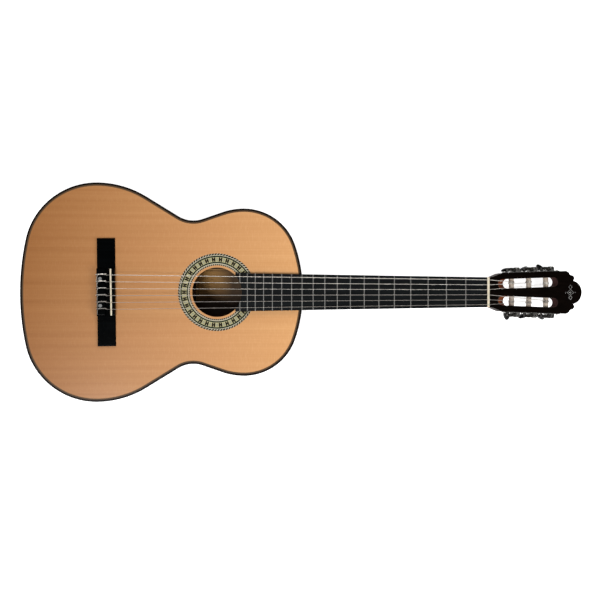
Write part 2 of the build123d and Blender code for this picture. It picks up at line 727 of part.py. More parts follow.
def plate_screw(a):
    """A wood screw: a domed head on the plate and a plain shank into the rail."""
    top = PLATE_THICKNESS + SCREW_HEAD_HEIGHT
    head = side_rod(a, PLATE_THICKNESS, top, SCREW_HEAD_RADIUS)
    head = fillet(head.faces().sort_by(Axis.Y)[-1].edges(), 0.9)
    slot = block((a - 3, a + 3), (top - 0.6, top + 1), (-0.3, 0.3))
    return (head - slot) + side_rod(a, -SCREW_LENGTH, PLATE_THICKNESS, SCREW_SHANK_RADIUS)


def side_screws():
    """The bass plate's screws, in the head's frame."""
    return [side_location() * plate_screw(a) for a in SCREW_STATIONS]


def machine_plate():
    """A plate with stepped round ends, and two bearings for each worm."""
    half, end = PLATE_WIDTH / 2, 6.0
    plate = block((PLATE_START + end, PLATE_END - end), (0, PLATE_THICKNESS), (-half, half))
    for a, out in ((PLATE_START + end, -1), (PLATE_END - end, 1)):
        plate += side_rod(a, 0, PLATE_THICKNESS, half - 2.5)
        plate += side_rod(a + 1.5 * out, 0, PLATE_THICKNESS, 4.5)
    nearest = WORM_TURNS * WORM_LEAD / 2 + BEARING_GAP
    for index in range(3):
        roller_a = index * ROLLER_SPACING
        worm_a = roller_a + WORM_OFFSET
        for low in (nearest, -nearest - BEARING_THICKNESS):
            middle = low + BEARING_THICKNESS / 2
            a_range = (worm_a - BEARING_RADIUS, worm_a + BEARING_RADIUS)
            plate += block(a_range, (0, GEAR_MID_B), (low, low + BEARING_THICKNESS))
            plate += Pos(worm_a, GEAR_MID_B, middle) * Cylinder(BEARING_RADIUS, BEARING_THICKNESS)
            shaft_hole = Cylinder(SHAFT_RADIUS + RUNNING, 2 * BEARING_THICKNESS)
            plate -= Pos(worm_a, GEAR_MID_B, middle) * shaft_hole
        plate -= side_rod(roller_a, -1, PLATE_THICKNESS + 1, NECK_RADIUS + RUNNING)
    for a in SCREW_STATIONS:
        plate -= plate_screw(a)
    return plate


def roller():
    """A string roller: a wide barrel in the slot, a neck through the plate and the gear's spindle."""
    inner = GEAR_MID_B - GEAR_THICKNESS / 2
    barrel = side_rod(0, -ROLLER_REACH, -0.1, ROLLER_RADIUS)
    neck = side_rod(0, -0.1, inner, NECK_RADIUS)
    spindle = side_rod(0, inner, inner + GEAR_THICKNESS, SPINDLE_RADIUS)
    string_hole = Pos(0, STRING_HOLE_B, 0) * Cylinder(STRING_HOLE_RADIUS, 4 * ROLLER_RADIUS)
    return barrel + neck + spindle - string_hole


def gear():
    """A spur gear with straight flanks, and the screw that holds it on the roller."""
    pitch_radius = GEAR_TEETH * MODULE / 2
    root, tip = pitch_radius - 1.25 * MODULE, pitch_radius + 0.9 * MODULE
    root_half = degrees((TOOTH_THICKNESS / 2 + 0.45) / root)
    tip_half = degrees((TOOTH_THICKNESS / 2 - 0.3) / tip)
    points = []
    for tooth in range(GEAR_TEETH):
        middle = (tooth + 0.5) * 360 / GEAR_TEETH
        for radius, turn in ((root, -root_half), (tip, -tip_half), (tip, tip_half), (root, root_half)):
            angle = radians(middle + turn)
            points.append((radius * cos(angle), radius * sin(angle)))
    face = make_face(Polyline(*points, close=True))
    across = Plane(origin=(0, GEAR_MID_B - GEAR_THICKNESS / 2, 0), x_dir=(1, 0, 0), z_dir=(0, 1, 0))
    wheel = extrude(across * face, amount=GEAR_THICKNESS)
    wheel -= side_rod(0, 0, 2 * GEAR_MID_B, SPINDLE_RADIUS)
    outer = GEAR_MID_B + GEAR_THICKNESS / 2
    head = side_rod(0, outer, outer + 1.4, 3.2)
    head = fillet(head.faces().sort_by(Axis.Y)[-1].edges(), 0.7)
    head -= block((-4, 4), (outer + 0.7, outer + 2), (-0.35, 0.35))
    return solids_of(wheel, head)


def worm():
    """A right-hand worm on its shaft, which runs down to the button. Its axis is the local Z."""
    length = WORM_TURNS * WORM_LEAD
    root = WORM_PITCH_RADIUS - 1.1 * MODULE
    crest = WORM_PITCH_RADIUS + 0.9 * MODULE
    helix = Helix(pitch=WORM_LEAD, height=length, radius=root, center=(0, 0, -length / 2))
    base_half, crest_half = THREAD_THICKNESS / 2 + 0.4, THREAD_THICKNESS / 2 - 0.28
    depth, bite = crest - root, 0.4
    corners = ((-bite, -base_half), (depth, -crest_half), (depth, crest_half), (-bite, base_half))
    across = Plane(origin=helix @ 0, x_dir=(1, 0, 0), z_dir=(0, 1, 0))
    thread = sweep(across * make_face(Polyline(*corners, close=True)), path=helix, is_frenet=True)
    top = length / 2 + BEARING_GAP + BEARING_THICKNESS
    bottom = BUTTON_START - BUTTON_DEPTH
    shaft = Pos(0, 0, (top + bottom) / 2) * Cylinder(SHAFT_RADIUS, top - bottom)
    collar = Pos(0, 0, -top - 1.2) * Cylinder(2.6, 1.6)
    ferrule = Pos(0, 0, BUTTON_START + 1.5) * Cylinder(2.7, 3.0)
    return Cylinder(root, length) + shaft + collar + ferrule + (thread & Cylinder(2 * crest, length))


def button(turn):
    """A flat oval button at the shaft's end, at the angle it was left at."""
    sections = [
        Pos(0, 0, BUTTON_START - along) * Rot(180, 0, 0) * Ellipse(half_width, half_thickness)
        for along, half_width, half_thickness in BUTTON_STATIONS
    ]
    socket = Pos(0, 0, BUTTON_START) * Cylinder(SHAFT_RADIUS, 2 * BUTTON_DEPTH)
    return Rot(0, 0, turn) * (loft(sections) - socket)


# ---------------------------------------------------------------- strings

def string_offsets(spread):
    """The six strings' distances from the centre line, bass to treble."""
    return [spread / 2 - index * spread / 5 for index in range(6)]


def roller_of(index):
    """Which roller a string runs to, counted from the nut: the outer strings take the nearest."""
    return min(index, 5 - index)


def touching_angle(point, centre, reach):
    """Where a line from a point on the left touches the top of a circle, as an angle at its centre."""
    dx, dz = point[0] - centre[0], point[1] - centre[1]
    return (atan2(dz, dx) - acos(reach / hypot(dx, dz))) % (2 * pi)


def roller_landing(nut_back, station, v, radius):
    """Where a string from the back of the nut first touches its roller."""
    start = head_frame().to_local_coords(Vector(*nut_back))
    centre_u = FIRST_ROLLER_U + station * ROLLER_SPACING
    reach = ROLLER_RADIUS + radius + STRING_GAP
    turn = touching_angle((start.X, start.Z), (centre_u, ROLLER_W), reach)
    touch = Vector(centre_u + reach * cos(turn), v, ROLLER_W + reach * sin(turn))
    return tuple(head_frame().from_local_coords(touch))


def string_route(index):
    """A string's corners and bend radii: tied at the bridge, over saddle and nut, onto its roller."""
    radius = STRING_RADII[index]
    y_saddle, y_nut = string_offsets(SADDLE_SPREAD)[index], string_offsets(NUT_SPREAD)[index]
    tie_z = TOP_Z + TIE_HOLE_HEIGHT
    over_z = TOP_Z + BLOCK_HEIGHT + radius + STRING_GAP
    bridge_rear = BRIDGE_REAR_X + turned_by(y_saddle, BRIDGE_TURN)
    tie_front = bridge_rear + TIE_BLOCK_WIDTH
    rear = bridge_rear - radius - 0.9
    side = LOOP_SIDE + radius

    leaves = (tie_front + 1.0, tie_z)
    crown = SADDLE_THICKNESS / 2
    saddle_bend = crown + radius + STRING_GAP
    axis = (SADDLE_X + turned_by(y_saddle, SADDLE_TURN), saddle_crest(y_saddle) - crown)
    turn = touching_angle(leaves, axis, saddle_bend)
    corner_x = axis[0] - saddle_bend * tan((turn - pi / 2) / 2)

    nut_z = NUT_STRING_Z + radius
    sign = 1 if index < 3 else -1
    roller_v = sign * ROLLER_STRING_V[roller_of(index)]
    nut_back = (HEAD_START_X - 1.5, y_nut + (roller_v - y_nut) * 0.02, nut_z - 0.15)
    points = [
        (tie_front + 1.2, y_saddle + side, over_z),
        (bridge_rear + 3.0, y_saddle + side * 0.8, over_z),
        (rear, y_saddle + side * 0.4, over_z),
        (rear, y_saddle, tie_z),
        (leaves[0], y_saddle, tie_z),
        (corner_x, y_saddle, axis[1] + saddle_bend),
        (NUT_FRONT_X, y_nut, nut_z),
        nut_back,
        roller_landing(nut_back, roller_of(index), roller_v, radius),
    ]
    return points, (3.0, 1.3, 1.3, 3.0, saddle_bend, 2.0, 1.5)


def sweep_string(index):
    """The string's tube, with its bends as tangent arcs."""
    points, bends = string_route(index)
    path = FilletPolyline(*points, radius=bends)
    section = Plane(origin=path @ 0, z_dir=path % 0) * Circle(STRING_RADII[index])
    return sweep(section, path=path)


# ---------------------------------------------------------------- assembly

def build_parts():
    """Every node's shape, by name."""
    strings = [sweep_string(index) for index in range(6)]
    frets = make_frets()
    bass_side, treble_side = make_sides()
    parts = {
        "soundboard": make_soundboard(),
        "rosette": make_rosette(),
        "top_purfling": make_purfling(),
        "top_binding": make_top_binding(),
        "back_binding": make_back_binding(),
        "bass_side": bass_side,
        "treble_side": treble_side,
        "back_plates": make_back_plates(),
        "back_strip": back_strip(),
        "top_lining": make_top_lining(),
        "back_lining": make_back_lining(),
        "neck_block": neck_block(),
        "tail_block": tail_block(),
        "fan_braces": fan_braces(),
        "harmonic_bars": harmonic_bars(),
        "back_braces": back_braces(),
        "label": make_label(),
        "bridge": make_bridge(),
        "bridge_bolts": bridge_bolts(),
        "bridge_dots": bridge_dots(),
        "saddle": make_saddle(),
        "neck": make_neck(),
        "heel_cap": heel_cap(),
        "head_veneer": head_veneer(),
        "fretboard": make_fretboard(frets),
        "frets": frets,
        "nut": make_nut(strings),
    }
    for index, string in enumerate(strings):
        parts[f"string_{6 - index}"] = string
    parts.update(tuner_parts())
    return {name: LAY_FLAT * shape for name, shape in parts.items()}


def tuner_parts():
    """Both machines' plates and screws, and the moving pieces of each of the six tuners."""
    bass = head_location() * side_location()
    treble = head_location() * mirrored_location(side_location())
    plate = bass * machine_plate()
    screws = [head_location() * screw for screw in side_screws()]
    parts = {
        "bass_tuner_plate": plate,
        "treble_tuner_plate": plate.mirror(Plane.XZ),
        "plate_screws": solids_of(*screws, *[screw.mirror(Plane.XZ) for screw in screws]),
    }
    worm_shape = worm()
    for index, turn in enumerate(BUTTON_TURNS):
        number = 6 - index
        along = roller_of(index) * ROLLER_SPACING
        roller_shape, gear_shape = (bass * Pos(along, 0, 0) * shape for shape in (roller(), gear()))
        key_place = bass * Pos(along + WORM_OFFSET, GEAR_MID_B, 0)
        if index > 2:
            roller_shape, gear_shape = roller_shape.mirror(Plane.XZ), gear_shape.mirror(Plane.XZ)
            key_place = treble * Pos(along + WORM_OFFSET, -GEAR_MID_B, 0)
        parts[f"roller_{number}"] = roller_shape
        parts[f"gear_{number}"] = gear_shape
        parts[f"worm_{number}"] = key_place * worm_shape
        parts[f"button_{number}"] = key_place * button(turn)
    return parts


def mirrored_location(location):
    """The treble side's frame: the bass one's position and turn, reflected in the centre plane."""
    place, turn = location.position, location.orientation
    return Pos(place.X, -place.Y, place.Z) * Rot(turn.X, turn.Y, -turn.Z)


def main():
    os.makedirs("parts", exist_ok=True)
    for name, shape in build_parts().items():
        export_step(shape, f"parts/{name}.step")


main()
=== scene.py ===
import json
from math import atan2, ceil, copysign, cos, pi, radians, sin, tan

import bmesh
import bpy
from mathutils import Matrix, Vector


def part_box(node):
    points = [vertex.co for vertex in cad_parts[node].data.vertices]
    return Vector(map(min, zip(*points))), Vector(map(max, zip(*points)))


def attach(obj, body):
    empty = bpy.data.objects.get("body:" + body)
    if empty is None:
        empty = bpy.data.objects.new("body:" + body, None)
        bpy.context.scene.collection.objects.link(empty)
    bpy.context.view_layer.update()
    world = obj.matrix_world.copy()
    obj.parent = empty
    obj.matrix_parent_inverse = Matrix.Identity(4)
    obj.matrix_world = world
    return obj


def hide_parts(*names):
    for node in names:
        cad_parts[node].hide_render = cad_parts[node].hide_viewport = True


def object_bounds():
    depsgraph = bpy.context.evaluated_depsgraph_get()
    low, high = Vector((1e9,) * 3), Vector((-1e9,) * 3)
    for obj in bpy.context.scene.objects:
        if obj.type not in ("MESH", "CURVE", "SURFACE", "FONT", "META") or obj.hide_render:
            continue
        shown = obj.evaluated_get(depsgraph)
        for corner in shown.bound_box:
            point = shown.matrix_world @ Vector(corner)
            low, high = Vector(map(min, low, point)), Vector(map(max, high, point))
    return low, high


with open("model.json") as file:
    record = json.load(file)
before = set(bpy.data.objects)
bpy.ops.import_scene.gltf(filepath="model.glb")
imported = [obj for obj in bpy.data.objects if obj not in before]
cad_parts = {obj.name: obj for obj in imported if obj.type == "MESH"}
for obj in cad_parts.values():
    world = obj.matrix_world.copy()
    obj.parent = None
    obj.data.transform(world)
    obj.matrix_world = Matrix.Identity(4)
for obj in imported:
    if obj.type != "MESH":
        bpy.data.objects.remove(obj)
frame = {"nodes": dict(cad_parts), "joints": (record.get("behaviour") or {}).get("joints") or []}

# A classical guitar lying on its back. Lengths are in metres, in the frame of the CAD model:
# +X towards the head, +Y to the bass side, +Z up. The soundboard leans a little towards the
# head, because the body is shallower there. LEAN takes a guitar drawn with its soundboard
# level to that position.
#
# Some materials carry shade as well as colour, fixed to the object. The soundboard is toned
# darker towards its tail. The label, the inside of the back and the slots in the head are darker
# than the bare paper and wood. That stands in for light and shade that the lamps at the end
# don't make, so it stays when the lamps change. The black parts are tinted nearer to black than
# real ebony and plastic, and they, the varnished woods and the inlays reflect less than real ones.

MM = 0.001
cad_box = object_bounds()
nodes = frame["nodes"]
joints = {joint["name"]: joint for joint in frame["joints"]}

BODY_LENGTH = 487.9 * MM
TAIL_DEPTH = 100 * MM
JOIN_DEPTH = 94 * MM
TOP_Z = (TAIL_DEPTH + JOIN_DEPTH) / 2
LEAN = Matrix.Rotation(atan2(TAIL_DEPTH - JOIN_DEPTH, BODY_LENGTH), 4, "Y")

STRING_RADII = {6: 0.56, 5: 0.45, 4: 0.37, 3: 0.51, 2: 0.41, 1: 0.36}
BASS_STRINGS = (6, 5, 4)
STRINGS = (6, 5, 4, 3, 2, 1)
SADDLE_SPREAD = 59 * MM
ROLLER_RADIUS = 4.75 * MM
BRIDGE_REAR = -111.85 * MM
BRIDGE_TURN = radians(0.54)
TIE_BLOCK_WIDTH = 14 * MM
TIE_BLOCK_HEIGHT = 9 * MM
HEAD_START = Vector((572.85 * MM, 0, TOP_Z))
HEAD_ANGLE = radians(13.4)
HEAD_FLARE = radians(2.1)
HEAD_VENEER = 2 * MM
HEAD_THICKNESS = 18 * MM
SLOT_START = 13 * MM
SLOT_END = 141 * MM
SLOT_MIDDLE = 13.80 * MM
SLOT_HALF_WIDTH = 8.62 * MM
RAMP_END = 50 * MM
ROLLER_HOLE_SIDE = 19 * MM
TURN_PITCH = 2.1
BACK_THICKNESS = 2.8 * MM
# The soundboard's painted shade fades across this distance each side of its middle.
FALLOFF_REACH = 245 * MM

# Shares of the purfling's width, from its outer edge.
BLACK_SHARE = 0.20
CHEVRON_SHARE = 0.36
LINE_SHARE = 0.86


# ---------------------------------------------------------------- node graphs

class Graph:
    """A material's nodes, built with calls that each return an output socket."""

    def __init__(self, name):
        self.material = bpy.data.materials.new(name)
        self.material.use_nodes = True
        self.tree = self.material.node_tree
        self.tree.nodes.clear()
        output = self.tree.nodes.new("ShaderNodeOutputMaterial")
        self.shader = self.tree.nodes.new("ShaderNodeBsdfPrincipled")
        self.tree.links.new(self.shader.outputs[0], output.inputs[0])

    def feed(self, socket, value):
        """Links an output socket to an input, or sets the input to a plain value."""
        if isinstance(value, bpy.types.NodeSocket):
            self.tree.links.new(value, socket)
        else:
            socket.default_value = value

    def make(self, kind, values, output=0, **settings):
        """Adds a node with its settings and inputs, and returns one of its outputs."""
        node = self.tree.nodes.new("ShaderNode" + kind)
        for key, value in settings.items():
            setattr(node, key, value)
        for key, value in values.items():
            self.feed(node.inputs[key], value)
        return node.outputs[output]

    def math(self, operation, first, second=0.5):
        return self.make("Math", {0: first, 1: second}, operation=operation)

    def add(self, first, second):
        return self.math("ADD", first, second)

    def take(self, first, second):
        return self.math("SUBTRACT", first, second)

    def times(self, first, second):
        return self.math("MULTIPLY", first, second)

    def size(self, value):
        return self.math("ABSOLUTE", value)

    def under(self, value, limit, soft=0.0):
        """1 where value is under limit and 0 above it, over a soft edge if one is given."""
        if not soft:
            return self.math("LESS_THAN", value, limit)
        return self.span(value, limit + soft, limit - soft)

    def span(self, value, low, high):
        """value from low to high as 0 to 1, clamped."""
        return self.make("MapRange", {"Value": value, "From Min": low, "From Max": high})

    def place(self):
        return self.make("TexCoord", {}, output="Object")

    def part(self, vector, axis):
        return self.make("SeparateXYZ", {0: vector}, output="XYZ".index(axis))

    def join(self, x, y, z):
        return self.make("CombineXYZ", {0: x, 1: y, 2: z})

    def stretch(self, vector, scale):
        return self.make("VectorMath", {0: vector, 1: scale}, operation="MULTIPLY")

    def noise(self, vector, scale=1.0, detail=2.0, rough=0.5, bend=0.0):
        values = {"Vector": vector, "Scale": scale, "Detail": detail, "Roughness": rough}
        return self.make("TexNoise", {**values, "Distortion": bend})

    def cells(self, vector, scale, output="Distance"):
        return self.make("TexVoronoi", {"Vector": vector, "Scale": scale}, output=output)

    def mix(self, factor, first, second, blend="MIX"):
        """A colour between two colours."""
        values = {0: factor, 6: colour(first), 7: colour(second)}
        return self.make("Mix", values, output=2, data_type="RGBA", blend_type=blend)

    def between(self, factor, first, second):
        """A number between two numbers."""
        return self.make("Mix", {0: factor, 2: first, 3: second}, output=0, data_type="FLOAT")

    def bump(self, height, distance, strength):
        """Sets the shader's normal from a height map. distance is the relief of height 1."""
        values = {"Height": height, "Distance": distance, "Strength": strength}
        self.feed(self.shader.inputs["Normal"], self.make("Bump", values))

    def finish(self, base, rough, **sockets):
        """Sets the shader's colour and roughness, and any other socket by name."""
        self.feed(self.shader.inputs["Base Color"], colour(base))
        self.feed(self.shader.inputs["Roughness"], rough)
        for name, value in sockets.items():
            self.feed(self.shader.inputs[name.replace("_", " ")], value)
        return self.material


def colour(value):
    """A node colour: a socket as it is, or red, green and blue with a full alpha added."""
    if isinstance(value, bpy.types.NodeSocket) or len(value) == 4:
        return value
    return (*value, 1.0)


# ---------------------------------------------------------------- materials

def growth_rings(graph, across, along, spacing, wander):
    """Late-wood lines: 0 in the pale early wood, rising to 1 and falling sharply at each ring."""
    drift = graph.noise(graph.join(graph.times(along, 2.2), graph.times(across, 18), 0.0), detail=3)
    bunch = graph.noise(graph.join(graph.times(along, 0.4), graph.times(across, 70), 7.3), detail=1)
    moved = graph.add(across, graph.times(graph.take(drift, 0.5), wander))
    ring = graph.add(graph.times(moved, 1 / spacing), graph.times(bunch, 3.0))
    place = graph.math("FRACT", ring)
    rise = graph.math("POWER", place, 2.5)
    fall = graph.span(place, 1.0, 0.93)
    number = graph.math("FLOOR", ring)
    weight = graph.make("TexWhiteNoise", {"W": number}, noise_dimensions="1D")
    return graph.times(graph.times(rise, fall), graph.between(weight, 0.35, 1.0))


def soundboard_wood():
    """Honey-coloured, straight-grained softwood, bookmatched about the centre line, under satin varnish.

    It is toned darker and redder towards the tail, in place of light that falls off there.
    """
    graph = Graph("soundboard_wood")
    place = graph.place()
    x, y, z = (graph.part(place, axis) for axis in "XYZ")
    across = graph.size(y)
    rings = growth_rings(graph, across, x, 1.25 * MM, 2.5 * MM)
    folded = graph.join(x, across, z)
    streaks = graph.noise(graph.stretch(folded, (1.3, 105, 60)), detail=4, rough=0.62)
    fibre = graph.noise(graph.stretch(folded, (55, 3600, 900)), detail=2)
    blotches = graph.noise(graph.stretch(folded, (5, 11, 5)), detail=3)
    rays = graph.noise(graph.stretch(folded, (520, 85, 50)), detail=3, rough=0.7)
    base = graph.mix(graph.span(streaks, 0.28, 0.74), (0.535, 0.267, 0.097), (0.645, 0.350, 0.141))
    base = graph.mix(graph.times(graph.span(blotches, 0.35, 0.75), 0.55), base, (0.60, 0.29, 0.115))
    base = graph.mix(graph.times(graph.span(rays, 0.50, 0.76), 0.24), base, (0.80, 0.49, 0.235))
    base = graph.mix(graph.times(rings, 0.42), base, (0.33, 0.128, 0.040))
    base = graph.mix(graph.times(graph.span(fibre, 0.3, 0.8), 0.14), base, (0.42, 0.18, 0.06))
    # Painted shade: darker and redder towards the tail, in place of light that falls off there.
    tail_shade, neck_lit = (0.445, 0.343, 0.25), (1.0, 1.02, 1.08)
    painted_falloff = graph.mix(graph.span(x, -FALLOFF_REACH, FALLOFF_REACH), tail_shade, neck_lit)
    base = graph.mix(1.0, base, painted_falloff, blend="MULTIPLY")
    height = graph.add(graph.times(rings, -0.7), graph.times(fibre, 0.3))
    graph.bump(height, 0.02 * MM, 0.6)
    rough = graph.between(fibre, 0.34, 0.44)
    return graph.finish(base, rough, Specular_IOR_Level=0.16, Coat_Weight=0.06, Coat_Roughness=0.14)


def hardwood(name, pale, deep, stripe, ring_axis="Y", spacing=2.4 * MM, coat=0.5):
    """An open-pored hardwood with dark stripes, its grain along X and its rings across ring_axis."""
    graph = Graph(name)
    place = graph.place()
    x, y, z = (graph.part(place, axis) for axis in "XYZ")
    across, other = (y, z) if ring_axis == "Y" else (z, y)
    along = graph.add(x, graph.times(other, 0.25))
    flow = graph.join(along, across, 0.0)
    rings = growth_rings(graph, across, along, spacing, 7 * MM)
    bands = graph.noise(graph.stretch(flow, (1, 42, 1)), detail=5, rough=0.6, bend=0.35)
    tone = graph.noise(graph.stretch(flow, (3, 12, 1)), detail=2)
    pore = graph.noise(graph.stretch(graph.join(along, across, other), (65, 1900, 900)), detail=2)
    pore = graph.span(pore, 0.60, 0.72)
    base = graph.mix(graph.span(tone, 0.3, 0.7), pale, deep)
    base = graph.mix(graph.times(graph.span(bands, 0.48, 0.66), 0.85), base, stripe)
    base = graph.mix(graph.times(rings, 0.5), base, stripe)
    base = graph.mix(graph.times(pore, 0.5), base, tuple(c * 0.35 for c in stripe))
    graph.bump(graph.times(pore, -1.0), 0.05 * MM, 0.5)
    return graph.finish(base, graph.between(pore, 0.28, 0.4), Specular_IOR_Level=0.15,
                        Coat_Weight=coat, Coat_Roughness=0.1)


def bare_wood(name, pale, deep):
    """Unvarnished softwood inside the body: fine rings and saw marks."""
    graph = Graph(name)
    place = graph.place()
    x, y, z = (graph.part(place, axis) for axis in "XYZ")
    rings = growth_rings(graph, graph.add(y, z), x, 1.8 * MM, 4 * MM)
    fibre = graph.noise(graph.stretch(place, (70, 1500, 1500)), detail=3)
    saw = graph.noise(graph.stretch(place, (700, 90, 90)), detail=2)
    base = graph.mix(graph.times(rings, 0.6), pale, deep)
    base = graph.mix(graph.times(graph.span(fibre, 0.4, 0.75), 0.3), base, deep)
    graph.bump(graph.add(graph.times(fibre, 0.5), graph.times(saw, 0.5)), 0.08 * MM, 0.7)
    return graph.finish(base, graph.between(fibre, 0.62, 0.82))


def side_wood():
    """The sides: the same dark wood as the back, its grain running round the body."""
    return hardwood("side_wood", (0.105, 0.040, 0.020), (0.062, 0.022, 0.012), (0.016, 0.006, 0.004),
                    ring_axis="Z", spacing=2.6 * MM, coat=0.12)


def back_plate_wood():
    """The back: dark varnished wood outside, and bare wood on the face inside the body.

    The inside is darker than bare wood, to stand for the shade that it lies in.
    """
    graph = Graph("back_wood")
    place = graph.place()
    x, y, z = (graph.part(place, axis) for axis in "XYZ")
    across = graph.size(y)
    flow = graph.join(x, across, 0.0)
    rings = growth_rings(graph, across, x, 2.6 * MM, 7 * MM)
    bands = graph.noise(graph.stretch(flow, (1, 42, 1)), detail=5, rough=0.6, bend=0.35)
    tone = graph.noise(graph.stretch(flow, (3, 12, 1)), detail=2)
    pore = graph.noise(graph.stretch(graph.join(x, across, z), (65, 1900, 900)), detail=2)
    pore = graph.span(pore, 0.60, 0.72)
    band = graph.times(graph.span(bands, 0.48, 0.66), 0.85)
    stripe = graph.math("MAXIMUM", band, graph.times(rings, 0.5))
    varnished = graph.mix(graph.span(tone, 0.3, 0.7), (0.105, 0.040, 0.020), (0.062, 0.022, 0.012))
    varnished = graph.mix(stripe, varnished, (0.016, 0.006, 0.004))
    bare = graph.mix(graph.span(tone, 0.3, 0.7), (0.052, 0.029, 0.014), (0.036, 0.019, 0.009))
    bare = graph.mix(graph.times(stripe, 0.6), bare, (0.020, 0.010, 0.005))
    inside = graph.span(z, BACK_THICKNESS - 0.2 * MM, BACK_THICKNESS - 0.1 * MM)
    base = graph.mix(inside, varnished, bare)
    base = graph.mix(graph.times(pore, 0.5), base, (0.006, 0.003, 0.002))
    graph.bump(graph.times(pore, -1.0), 0.05 * MM, 0.5)
    rough = graph.add(graph.between(pore, 0.3, 0.42), graph.times(inside, 0.35))
    return graph.finish(base, rough, Specular_IOR_Level=0.2, Coat_Weight=0.12, Coat_Roughness=0.1)


def neck_wood():
    """The neck: stained nearly black-brown, with an orange-brown ramp and darker walls in the slots.

    The ramp and the walls are tinted for the shade in the slots.
    """
    graph = Graph("neck_wood")
    place = graph.place()
    x, y, z = (graph.part(place, axis) for axis in "XYZ")
    start = LEAN @ HEAD_START
    slope = HEAD_ANGLE + (LEAN @ Vector((1, 0, 0))).angle(Vector((1, 0, 0)))
    along = graph.add(graph.times(graph.take(x, start.x), cos(slope)),
                      graph.times(graph.take(z, start.z), -sin(slope)))
    middle = graph.add(graph.times(along, sin(HEAD_FLARE)), SLOT_MIDDLE)
    in_band = graph.under(graph.size(graph.take(graph.size(y), middle)), SLOT_HALF_WIDTH)
    past_nut = graph.span(along, SLOT_START, SLOT_START + 0.1 * MM)
    before_tip = graph.under(along, SLOT_END)
    height = graph.add(graph.times(graph.take(x, start.x), sin(slope)),
                       graph.times(graph.take(z, start.z), cos(slope)))
    above_back = graph.math("GREATER_THAN", height, 0.3 * MM - HEAD_THICKNESS)
    slot = graph.times(graph.times(in_band, above_back), graph.times(past_nut, before_tip))
    rings = growth_rings(graph, y, x, 4 * MM, 7 * MM)
    bands = graph.noise(graph.stretch(graph.join(x, y, z), (1.5, 60, 60)), detail=4, rough=0.6)
    pore = graph.noise(graph.stretch(place, (65, 1900, 1900)), detail=2)
    pore = graph.span(pore, 0.60, 0.72)
    stain = graph.mix(graph.span(bands, 0.35, 0.65), (0.026, 0.009, 0.005), (0.014, 0.005, 0.003))
    stain = graph.mix(graph.times(rings, 0.4), stain, (0.007, 0.003, 0.002))
    ramp = graph.mix(graph.span(bands, 0.35, 0.65), (0.19, 0.046, 0.009), (0.14, 0.031, 0.006))
    wall = graph.mix(graph.span(bands, 0.35, 0.65), (0.050, 0.022, 0.020), (0.034, 0.015, 0.014))
    bare = graph.mix(graph.span(along, RAMP_END, RAMP_END + 2 * MM), ramp, wall)
    base = graph.mix(slot, stain, bare)
    base = graph.mix(graph.times(pore, 0.5), base, (0.010, 0.004, 0.002))
    graph.bump(graph.times(pore, -1.0), 0.04 * MM, 0.5)
    rough = graph.add(graph.between(pore, 0.34, 0.46), graph.times(slot, 0.2))
    return graph.finish(base, rough, Specular_IOR_Level=0.01)


def ebony(name, tint=(0.0045, 0.005, 0.006), rough=(0.34, 0.5), shine=0.08):
    """Black, close-grained wood with barely visible streaks and fine pores."""
    graph = Graph(name)
    place = graph.place()
    streaks = graph.noise(graph.stretch(place, (4, 220, 220)), detail=4, rough=0.6)
    pore = graph.span(graph.noise(graph.stretch(place, (95, 2600, 2600)), detail=2), 0.6, 0.72)
    smears = graph.noise(graph.stretch(place, (22, 34, 34)), detail=3)
    lighter = tuple(c * 2.2 for c in tint)
    base = graph.mix(graph.span(streaks, 0.42, 0.78), tint, lighter)
    base = graph.mix(graph.times(pore, 0.6), base, tuple(c * 0.5 for c in tint))
    graph.bump(graph.times(pore, -1.0), 0.03 * MM, 0.5)
    worn = graph.between(graph.span(smears, 0.35, 0.7), *rough)
    return graph.finish(base, graph.add(worn, graph.times(pore, 0.12)), Specular_IOR_Level=shine)


def gloss(name, tint, rough, **sockets):
    """Polished plastic or lacquer with a slight orange peel and fine handling marks."""
    graph = Graph(name)
    place = graph.place()
    peel = graph.noise(place, scale=420, detail=2)
    haze = graph.noise(place, scale=55, detail=4, rough=0.65)
    base = graph.mix(graph.times(graph.span(haze, 0.4, 0.7), 0.35), tint, tuple(c * 1.6 for c in tint))
    graph.bump(peel, 0.01 * MM, 0.4)
    return graph.finish(base, graph.between(graph.span(haze, 0.3, 0.75), *rough), **sockets)


def bone():
    """Polished bone: fine dark pores drawn out along its length, and a faint yellowing."""
    tint = (0.66, 0.57, 0.43)
    graph = Graph("bone")
    place = graph.place()
    fibre = graph.noise(graph.stretch(place, (1400, 260, 1400)), detail=3)
    age = graph.noise(place, scale=70, detail=3)
    base = graph.mix(graph.span(age, 0.35, 0.7), tint, tuple(c * 0.86 for c in tint))
    base = graph.mix(graph.times(graph.span(fibre, 0.58, 0.75), 0.45), base, (0.45, 0.35, 0.20))
    graph.bump(fibre, 0.01 * MM, 0.3)
    return graph.finish(base, graph.between(fibre, 0.24, 0.36), Subsurface_Weight=0.08)


def pearl():
    """Dull mother-of-pearl: soft folded layers that shift between grey, green and a faint pink."""
    graph = Graph("pearl")
    place = graph.place()
    fold = graph.noise(place, scale=420, detail=3, bend=1.5)
    layers = graph.math("FRACT", graph.times(fold, 4.0))
    base = graph.mix(graph.span(layers, 0.2, 0.8), (0.13, 0.14, 0.135), (0.19, 0.18, 0.185))
    base = graph.mix(graph.span(fold, 0.55, 0.75), base, (0.105, 0.14, 0.135))
    graph.bump(layers, 0.01 * MM, 0.3)
    return graph.finish(base, 0.2, Specular_IOR_Level=0.2, Coat_Weight=0.1, Coat_Roughness=0.08)


